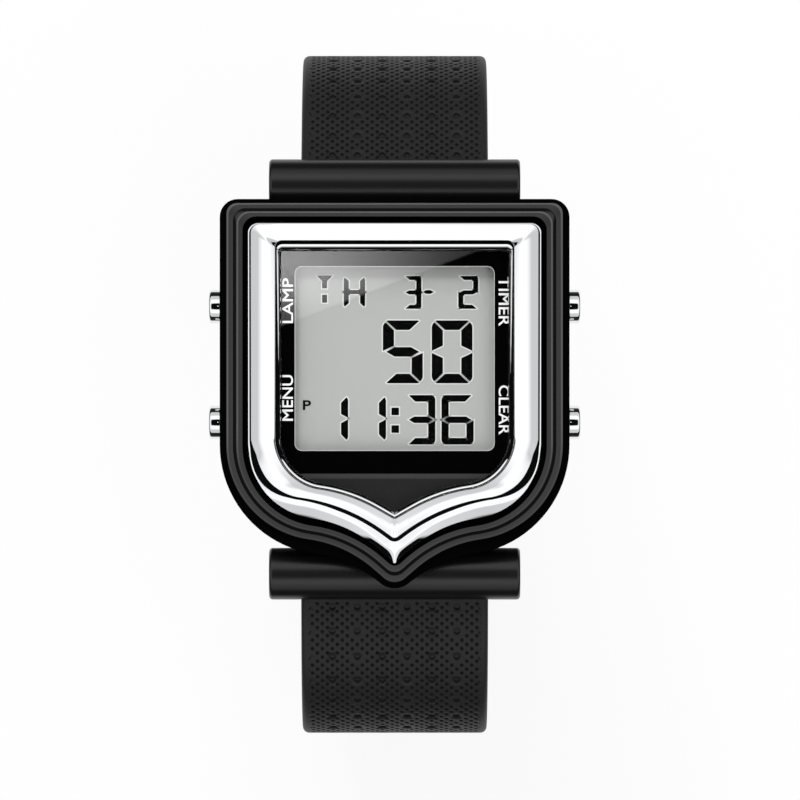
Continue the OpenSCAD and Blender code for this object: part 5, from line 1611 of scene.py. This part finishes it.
class StrapHalf:
    """One half of the strap as a grid rolled round its section."""

    def __init__(self, name, path, side, taper, first_large, field, tip_r, sizes):
        self.name, self.path, self.side, self.taper = name, path, side, taper
        self.field, self.tip_r = field, tip_r
        self.small, self.large = sizes.small_dimple / MM, sizes.large_dimple / MM
        self.first = first_large - LARGE_ROWS * ALONG
        self.make()

    def half_width(self, d):
        share = min(1.0, max(0.0, (d - self.taper[0]) / (self.taper[1] - self.taper[0])))
        half = (STRAP["w"] + (STRAP["end_w"] - STRAP["w"]) * share) / 2
        over = d - (self.path.length - self.tip_r)
        if self.tip_r and over > 0:
            over = min(over, self.tip_r)
            half += math.sqrt(self.tip_r ** 2 - over ** 2) - self.tip_r
        return half

    def section(self, d, j):
        """The section's points: half the back, one edge, the pattern's columns, the other edge
        and the rest of the back."""
        pose = self.path.pose(d)
        r, t = STRAP["edge"], STRAP["t"] / 2
        nose = d - (self.path.length - r)
        pull = r - math.sqrt(max(0.0, r * r - nose * nose)) if self.tip_r and nose > 0 else 0.0
        half, t = self.half_width(d) - pull, t - pull
        r = max(MIN_EDGE_R, min(r, t - SIDE_FLAT))
        flat = half - r
        points, chart, inside = [], [], []
        inside_row = 1.0 if self.field[0] <= d <= self.field[1] else 0.0

        def put(x, n, i=0, on=0.0):
            points.append(beside(pose, self.side, x, 0.0, n))
            chart.append((i, j))
            inside.append(on)

        def put_edge(x, n, start, column=None):
            for k in range(1, EDGE_STEPS):
                a = math.radians(start - 90 * k / EDGE_STEPS)
                put(x + r * math.cos(a), n + r * math.sin(a), 0 if column is None else column + k)

        for k in range(BACK_STEPS + 1):
            put(-flat * (1 + k / BACK_STEPS) / 2, -t)
        put_edge(-flat, -t + r, -90)
        put(-half, -t + r)
        put(-half, t - r, -EDGE_COLUMN - EDGE_STEPS)
        put_edge(-flat, t - r, 180, -EDGE_COLUMN - EDGE_STEPS)
        for i in range(-EDGE_COLUMN, EDGE_COLUMN + 1):
            on = inside_row if abs(i) <= LAST_COLUMN + 1 else 0.0
            depth = pit_depth(i, j, self.small, self.large) if on else 0.0
            put(flat * i / EDGE_COLUMN, t - depth, i, on)
        put_edge(flat, t - r, 90, EDGE_COLUMN)
        put(half, t - r, EDGE_COLUMN + EDGE_STEPS)
        put(half, -t + r)
        put_edge(flat, -t + r, 0)
        for k in range(BACK_STEPS + 1):
            put(flat * (1 - k / (2 * BACK_STEPS)), -t)
        put(-flat / 2, -t)
        return points, chart, inside

    def rows(self):
        """Lattice rows where the pattern runs and wider ones where the strap is plain."""
        last = self.path.length
        places = []
        j = 0
        while self.first + j * ALONG < last - TIP_START:
            d = self.first + j * ALONG
            if d <= self.field[1] + 1 or j % PLAIN_STEP == 0:
                places.append((d, j))
            j += 1
        return places + [(last - back, j) for back in TIP_ROWS] + [(last, j)]

    def make(self):
        """Rolls the grid, marks where its pattern runs and maps it on the lattice."""
        rows = self.rows()
        points, chart, inside = [], [], []
        for d, j in rows:
            p, c, m = self.section(d, j)
            points += p
            chart += c
            inside += m
        around = len(points) // len(rows)
        deselect()
        bpy.ops.mesh.primitive_grid_add(
            x_subdivisions=around - 1, y_subdivisions=len(rows) - 1, size=1)
        piece = self.piece = named(self.name)
        put_points(piece, points)
        mark = piece.data.attributes.new("field", 'FLOAT', 'POINT')
        mark.data.foreach_set("value", inside)
        ids = np.zeros(len(piece.data.loops), int)
        piece.data.loops.foreach_get("vertex_index", ids)
        piece.data.uv_layers["UVMap"].data.foreach_set(
            "uv", np.array(chart, np.float32)[ids].ravel())
        bpy.ops.object.mode_set(mode='EDIT')
        tidy_mesh()
        for ring in (points[:around], points[-around:]):
            self.close(ring)

    def close(self, ring):
        """Fills one open end."""
        piece = self.piece
        activate(piece)
        centre = Vector(np.mean(np.array(ring), axis=0) * MM)
        bpy.ops.object.mode_set(mode='EDIT')
        bpy.ops.mesh.select_all(action='DESELECT')
        bpy.ops.mesh.select_non_manifold(
            extend=False, use_wire=False, use_boundary=True, use_multi_face=False,
            use_non_contiguous=False, use_verts=False)
        mesh = bmesh.from_edit_mesh(piece.data)
        for vertex in mesh.verts:
            if vertex.select and (vertex.co - centre).length > END_REACH * MM:
                vertex.select = False
        mesh.select_flush(False)
        bmesh.update_edit_mesh(piece.data)
        bpy.ops.mesh.edge_face_add()
        bpy.ops.mesh.select_all(action='SELECT')
        bpy.ops.mesh.normals_make_consistent(inside=False)
        bpy.ops.object.mode_set(mode='OBJECT')


def knuckle(y, z, r, half):
    """The rolled end of a strap round its bar."""
    profile = [(-half, BAR_BORE_R)] + [(-half + x, r - loss) for x, loss in ROLL_EDGE]
    profile += [(half - x, r - loss) for x, loss in reversed(ROLL_EDGE)] + [(half, BAR_BORE_R)]
    return turned("knuckle", profile, count=40, centre=(0, y, z), closed=True)


class WATCH_OT_upper_strap(bpy.types.Operator):
    """Models the strap half at 12 o'clock with its dimples and the slot for the prong"""
    bl_idname = "watch.upper_strap"
    bl_label = "Upper strap"

    def execute(self, context):
        half = StrapHalf("upper_strap_band", UPPER, 1, UPPER_TAPER, tip_r=0.0,
                         sizes=context.scene.watch_sizes, **UPPER_PATTERN)
        end = knuckle(BUCKLE_Y, BUCKLE_Z, BUCKLE_ROLL_R, STRAP["end_w"] / 2)
        opening = rounded_outline(PRONG_SLOT["w"], PRONG_SLOT["l"], PRONG_SLOT["r"])
        for target in (half.piece, end):
            cut(target, prism("slot", shifted(opening, 0, BUCKLE_Y),
                              BUCKLE_Z - PRONG_SLOT["depth"], BUCKLE_Z + PRONG_SLOT["depth"]))
        root = knuckle(UPPER_PIVOT_Y, PIVOT_Z, ROOT_ROLL_R, STRAP["w"] / 2)
        piece = smooth(join("upper_strap_band", half.piece, root, end), angle=50)
        ready(piece, "strap_rubber", "upper_strap", "strap_rubber", "upper_strap")
        return {'FINISHED'}


class WATCH_OT_lower_strap(bpy.types.Operator):
    """Models the strap half at 6 o'clock with its dimples, its holes and its round tip"""
    bl_idname = "watch.lower_strap"
    bl_label = "Lower strap"

    def execute(self, context):
        half = StrapHalf("lower_strap_band", LOWER, -1, LOWER_TAPER, tip_r=LOWER_TIP_R,
                         sizes=context.scene.watch_sizes, **LOWER_PATTERN)
        pegs = []
        for i in range(HOLES["count"]):
            pose = LOWER.pose(LOWER.length - HOLES["first"] - HOLES["pitch"] * i)
            rings = [[beside(pose, -1, x, along, n) for x, along, _ in circle(r, 24, axis='Z')]
                     for n, r in HOLE_PROFILE]
            pegs.append(loft("peg", rings))
        cut(half.piece, join("pegs", *pegs))
        root = knuckle(-LOWER_PIVOT_Y, PIVOT_Z, ROOT_ROLL_R, STRAP["w"] / 2)
        piece = smooth(join("lower_strap_band", half.piece, root), angle=50)
        ready(piece, "strap_rubber", "lower_strap", "strap_rubber", "lower_strap")
        return {'FINISHED'}


# The keepers: half their length, gap between them and the buckle's end, pitch from one to the
# other, room over the two layers of strap, corner, and section as place along and wall
KEEPER = {"half": 2.2, "end_gap": 0.2, "pitch": 4.4 * 1.22, "room": 0.4, "r": 0.5}
KEEPER_SECTION = (
    (-2.2, 0.35), (-2.13, 0.1), (-1.95, 0.0), (1.95, 0.0), (2.13, 0.1), (2.2, 0.35),
    (2.2, 0.85), (2.1, 1.1), (1.85, 1.2), (-1.85, 1.2), (-2.1, 1.1), (-2.2, 0.85),
)
KEEPER_GAPS = {"fixed": -0.27, "free": 0.3}
# The buckle's hoop: width of its arms, height of its front, and radii outside and inside
HOOP = {"arm": 2.2, "front": 2.4, "r": 2.6, "inner_r": 0.9, "bevel": 0.45}
# The notch for the prong in the hoop, with its middle's distance from the bar
NOTCH = {"w": 2.6, "l": 5.0, "r": 0.3, "y": 2.7}
# The bar's profile as distance inward from its end and radius
BAR_EDGE = ((0.0, 0.6), (0.15, 0.75))
# The prong's ring, as place across and radius
PRONG_RING = ((-1.0, 0.82), (-1.0, 1.4), (-0.88, 1.52), (-0.7, 1.55), (0.7, 1.55), (0.88, 1.52),
              (1.0, 1.4), (1.0, 0.82))
# Its tongue's near and far face from the bar, and its sections: height over its tip, or depth
# under the bar, then width and how far each face draws in
TONGUE_FACES = (0.3, 1.6)
TONGUE_TIP = ((0.0, 0.7, 0.35, 0.35), (0.1, 1.2, 0.15, 0.2), (0.35, 1.6, 0.05, 0.1),
              (0.8, 1.8, 0.0, 0.03), (2.5, 1.9, 0.0, 0.0), (6.0, 2.0, 0.0, 0.0))
TONGUE_ROOT = ((1.3, 2.0, 0.0, 0.0), (0.5, 2.0, 0.55, 0.1))
# Radius of its corners, and how many radii fit into a section's narrow side at least
TONGUE_R = 0.3
RADII_ACROSS = 2.5


class WATCH_OT_keepers(bpy.types.Operator):
    """Models the fixed and the free keeper with rounded edges"""
    bl_idname = "watch.keepers"
    bl_label = "Keepers"

    def execute(self, context):
        fixed_at = UPPER.length - UPPER_TAIL - KEEPER["half"] - KEEPER["end_gap"]
        for name, d, gap, body, node in (
            ("fixed_keeper_loop", fixed_at, KEEPER_GAPS["fixed"], "upper_strap", "fixed_keeper"),
            ("free_keeper_loop", fixed_at - KEEPER["pitch"], KEEPER_GAPS["free"], "free_keeper",
             "free_keeper"),
        ):
            w, h = STRAP["end_w"] + 2 * gap, 2 * STRAP["t"] + KEEPER["room"] + gap
            lift = h / 2 - STRAP["t"] / 2 - gap
            pose = UPPER.pose(d)
            rings = []
            for along, wall in KEEPER_SECTION:
                loop = rounded_outline(w + 2 * wall, h + 2 * wall, KEEPER["r"] + wall)
                rings.append([beside(pose, 1, x, along, n + lift) for x, n in loop])
            piece = smooth(loft(name, rings, closed=True), angle=40)
            ready(piece, "keeper_rubber", body, "strap_rubber", node)
        return {'FINISHED'}


class WATCH_OT_buckle(bpy.types.Operator):
    """Models the buckle's frame, its bar and its prong"""
    bl_idname = "watch.buckle"
    bl_label = "Buckle"

    def execute(self, context):
        self.hoop()
        self.prong()
        half = (high("buckle_bar").x - low("buckle_bar").x) / 2
        profile = [(-half + x, r) for x, r in BAR_EDGE]
        profile += [(half - x, r) for x, r in reversed(BAR_EDGE)]
        bar = turned("buckle_bar_rod", profile, count=32, centre=(0, BUCKLE_Y, BUCKLE_Z))
        ready(smooth(bar), "buckle_steel", "buckle", "buckle_steel", "buckle_bar")
        return {'FINISHED'}

    def hoop(self):
        """The open frame, notched where the prong rests."""
        lo, hi = low("buckle_frame"), high("buckle_frame")
        half, r, inner_r = hi.x, HOOP["r"], HOOP["inner_r"]
        inner_x, front_z = half - HOOP["arm"], lo.z + HOOP["front"]
        top_z = hi.z - r + math.sqrt(r * r - (r - HOOP["arm"]) ** 2)
        right = arc(half - r, lo.z + r, r, -90, 0, 8)
        right += [p for p in arc(half - r, hi.z - r, r, 0, 90, 8) if p[0] >= inner_x]
        right.append((inner_x, top_z))
        right += arc(inner_x - inner_r, front_z + inner_r, inner_r, 0, -90, 6)
        shape = right + [(-x, z) for x, z in reversed(right)]
        piece = loft("buckle_frame_hoop", [[(x, y, z) for x, z in shape] for y in (lo.y, hi.y)])
        apply_modifier(piece, 'BEVEL', width=HOOP["bevel"] * MM, segments=3,
                       limit_method='ANGLE', angle_limit=math.radians(50), harden_normals=False)
        notch = shifted(rounded_outline(NOTCH["w"], NOTCH["l"], NOTCH["r"], 3),
                        0, BUCKLE_Y + NOTCH["y"])
        cut(piece, prism("notch", notch, lo.z - PAST, front_z + PAST))
        ready(smooth(piece, angle=40), "buckle_steel", "buckle", "buckle_steel", "buckle_frame")

    def prong(self):
        """The tongue with the ring that holds it on the bar."""
        ring = turned("prong_ring", PRONG_RING, count=36, centre=(0, BUCKLE_Y, BUCKLE_Z),
                      closed=True)
        tip_z = low("buckle_prong").z
        sections = [(tip_z + z, *rest) for z, *rest in TONGUE_TIP]
        sections += [(BUCKLE_Z - z, *rest) for z, *rest in TONGUE_ROOT]
        inner, outer = (BUCKLE_Y + face for face in TONGUE_FACES)
        rings = []
        for z, w, near, far in sections:
            y0, y1 = inner + near, outer - far
            corner = min(TONGUE_R, (y1 - y0) / RADII_ACROSS, w / RADII_ACROSS)
            rings.append(level(shifted(rounded_outline(w, y1 - y0, corner, 4), 0, (y0 + y1) / 2), z))
        piece = smooth(join("buckle_tongue", ring, loft("tongue", rings)), angle=40)
        ready(piece, "buckle_steel", "prong", "buckle_steel", "buckle_prong")


# Stage

# The room as bright faces see it, by the upward part of a direction: beside the watch, and
# beyond its ends
SIDE_ROOM = ((0.0, 0.003), (0.22, 0.003), (0.27, 1.0), (0.72, 1.0), (0.82, 0.57), (0.915, 0.57),
             (0.94, 0.003), (1.0, 0.003))
END_ROOM = ((0.0, 0.003), (0.22, 0.003), (0.3, 0.57), (0.62, 0.57), (0.72, 1.0), (0.915, 1.0),
            (0.94, 0.003), (1.0, 0.003))
ROOM_LIGHT = 1.2
# Light of the surroundings on surfaces without shine, and of the background
SOFT_LIGHT = 0.8
BACKGROUND_LIGHT = 1.0
# The window that the crystal mirrors: the slant of its edge, then the places where each of its
# borders, and its light across and up, start and end, in shares of the height, and that light
WINDOW_SLANT = 0.382
WINDOW_EDGE = (0.0187, 0.0193)
WINDOW_END = (0.06, 0.05)
WINDOW_SIDE = (0.0205, 0.0197)
WINDOW_UPWARD = (0.9, 0.95)
LIGHT_ACROSS = (0.012, -0.022, 0.45, 4.8)
LIGHT_UP = (0.0125, 0.0222, 0.2, 1.0)
# The floor: its size and grey, how much of it a camera sees as plain white, and how bright it
# is in mirrors, from one distance in metres to another
FLOOR_SIZE = 6.0
FLOOR_GREY = (0.82, 0.82, 0.82)
FLOOR_WHITE = 0.86
FLOOR_MIRRORED = (0.17, 0.12, 0.03, 0.95)
WHITE = (1, 1, 1, 1)
# Each lamp with its place, size and power, and the point they face
LAMPS = (("key", (-0.1, 0.55, 0.6), 0.3, 3.6), ("fill", (0.35, -0.25, 0.7), 0.5, 0.8))
LAMP_AIM = (0, 0, 0.05)
CAMERA = {"place": (0.0006, -0.00078, 0.771), "lens": 283.5, "sensor": 36.0, "clip": (0.01, 20.0)}


class WATCH_OT_stage(bpy.types.Operator):
    """Builds the floor, the lights, the surroundings and the camera"""
    bl_idname = "watch.stage"
    bl_label = "Stage"

    def execute(self, context):
        self.floor()
        self.world(context)
        self.lamps()
        self.camera(context)
        context.scene.view_settings.view_transform = 'Standard'
        return {'FINISHED'}

    def floor(self):
        """Paper that looks white, keeps the watch's shadow and gets dark far off in mirrors."""
        deselect()
        bpy.ops.mesh.primitive_plane_add(size=FLOOR_SIZE)
        plane = named("studio_floor")
        made, tree, shader = principled("floor_paper", FLOOR_GREY, Roughness=0.9)
        paper = shader.outputs[0]
        light = add_node(tree, "ShaderNodeLightPath")
        white = add_node(tree, "ShaderNodeEmission", [("Color", WHITE), ("Strength", 1.0)])
        place_at = add_node(tree, "ShaderNodeTexCoord").outputs["Object"]
        far = add_node(tree, "ShaderNodeVectorMath", [(0, place_at)], operation='LENGTH')
        bright = step_between(tree, far.outputs["Value"], *FLOOR_MIRRORED)
        mirrored = add_node(tree, "ShaderNodeEmission", [("Color", WHITE), ("Strength", bright)])
        direct = blend_shader(tree, FLOOR_WHITE, paper, white.outputs[0])
        seen = blend_shader(tree, light.outputs["Is Camera Ray"], paper, direct)
        final = blend_shader(tree, shiny_rays(tree, light), seen, mirrored.outputs[0])
        connect(tree, final, tree.nodes["Material Output"].inputs["Surface"])
        plane.data.materials.append(made)

    def world(self, context):
        """A white background, soft light, and a room with bright and dark bands in mirrors."""
        surroundings = bpy.data.worlds.new("studio")
        context.scene.world = surroundings
        surroundings.use_nodes = True
        tree = surroundings.node_tree
        direction = add_node(tree, "ShaderNodeTexCoord").outputs["Generated"]
        split = add_node(tree, "ShaderNodeSeparateXYZ", [("Vector", direction)])
        across = product(tree, split.outputs["X"], split.outputs["X"])
        along = product(tree, split.outputs["Y"], split.outputs["Y"])
        level_part = compute(tree, 'ADD', compute(tree, 'ADD', across, along), 1e-5)
        share = compute(tree, 'DIVIDE', along, level_part)
        room = blend(tree, share, self.ramp(tree, split.outputs["Z"], SIDE_ROOM),
                     self.ramp(tree, split.outputs["Z"], END_ROOM))
        bright = compute(tree, 'ADD', product(tree, room, ROOM_LIGHT), self.window(tree, split))
        light = add_node(tree, "ShaderNodeLightPath")
        lit = blend(tree, shiny_rays(tree, light), SOFT_LIGHT, bright)
        seen = blend(tree, light.outputs["Is Camera Ray"], lit, BACKGROUND_LIGHT)
        background = tree.nodes["Background"]
        connect(tree, seen, background.inputs["Strength"])
        connect(tree, WHITE, background.inputs["Color"])

    def ramp(self, tree, height, stops):
        """A grey by height, as a share of the room's light."""
        made = add_node(tree, "ShaderNodeValToRGB", [("Fac", height)])
        points = made.color_ramp.elements
        while len(points) < len(stops):
            points.new(0.5)
        for point, (at, value) in zip(points, stops):
            point.position = at
            point.color = (value, value, value, 1)
        return made.outputs["Color"]

    def window(self, tree, split):
        """A bright window straight above, whose edge crosses the crystal at a slant."""
        right = compute(tree, 'DIVIDE', split.outputs["X"], split.outputs["Z"])
        up = compute(tree, 'DIVIDE', split.outputs["Y"], split.outputs["Z"])
        above = compute(tree, 'SUBTRACT', up, product(tree, right, WINDOW_SLANT))
        return product(
            tree,
            step_between(tree, above, *WINDOW_EDGE),
            step_between(tree, compute(tree, 'ABSOLUTE', up), *WINDOW_END),
            step_between(tree, compute(tree, 'ABSOLUTE', right), *WINDOW_SIDE),
            step_between(tree, split.outputs["Z"], *WINDOW_UPWARD),
            step_between(tree, right, *LIGHT_ACROSS),
            step_between(tree, up, *LIGHT_UP),
        )

    def lamps(self):
        """Two soft lamps that mirrors don't show."""
        for name, place_at, size, power in LAMPS:
            deselect()
            bpy.ops.object.light_add(type='AREA', location=place_at)
            lamp = bpy.context.object
            lamp.name = name + "_lamp"
            lamp.data.size = size
            lamp.data.energy = power
            aim = Vector(LAMP_AIM) - Vector(place_at)
            lamp.rotation_euler = aim.to_track_quat('-Z', 'Y').to_euler()
            lamp.visible_glossy = False

    def camera(self, context):
        """The camera straight over the dial."""
        deselect()
        bpy.ops.object.camera_add(location=CAMERA["place"], rotation=(0, 0, 0))
        camera = context.object
        camera.name = "front_camera"
        camera.data.lens = CAMERA["lens"]
        camera.data.sensor_width = CAMERA["sensor"]
        camera.data.clip_start, camera.data.clip_end = CAMERA["clip"]
        context.scene.camera = camera


# Panel and registration

STEPS_IN_ORDER = (
    WATCH_OT_finishes, WATCH_OT_case_shell, WATCH_OT_front_bezel, WATCH_OT_chrome_bezel,
    WATCH_OT_crystal, WATCH_OT_case_back, WATCH_OT_display, WATCH_OT_labels, WATCH_OT_buttons,
    WATCH_OT_springs, WATCH_OT_upper_strap, WATCH_OT_lower_strap, WATCH_OT_keepers,
    WATCH_OT_buckle, WATCH_OT_stage,
)


class WATCH_PT_panel(bpy.types.Panel):
    """The watch's settings and the steps that build it"""
    bl_idname = "WATCH_PT_panel"
    bl_label = "Sports watch"
    bl_space_type = 'VIEW_3D'
    bl_region_type = 'UI'
    bl_category = "Watch"

    def draw(self, context):
        for group in (context.scene.watch_sizes, context.scene.watch_colours):
            box = self.layout.box()
            for key in group.__annotations__:
                box.prop(group, key)
        for step in STEPS_IN_ORDER:
            self.layout.operator(step.bl_idname)


CLASSES = (WatchSizes, WatchColours, *STEPS_IN_ORDER, WATCH_PT_panel)


def register():
    for item in CLASSES:
        bpy.utils.register_class(item)
    bpy.types.Scene.watch_sizes = bpy.props.PointerProperty(type=WatchSizes)
    bpy.types.Scene.watch_colours = bpy.props.PointerProperty(type=WatchColours)


def unregister():
    del bpy.types.Scene.watch_colours
    del bpy.types.Scene.watch_sizes
    for item in reversed(CLASSES):
        bpy.utils.unregister_class(item)


def main():
    register()
    for step in STEPS_IN_ORDER:
        group, title = step.bl_idname.split(".")
        getattr(getattr(bpy.ops, group), title)()


if __name__ == "__main__":
    main()
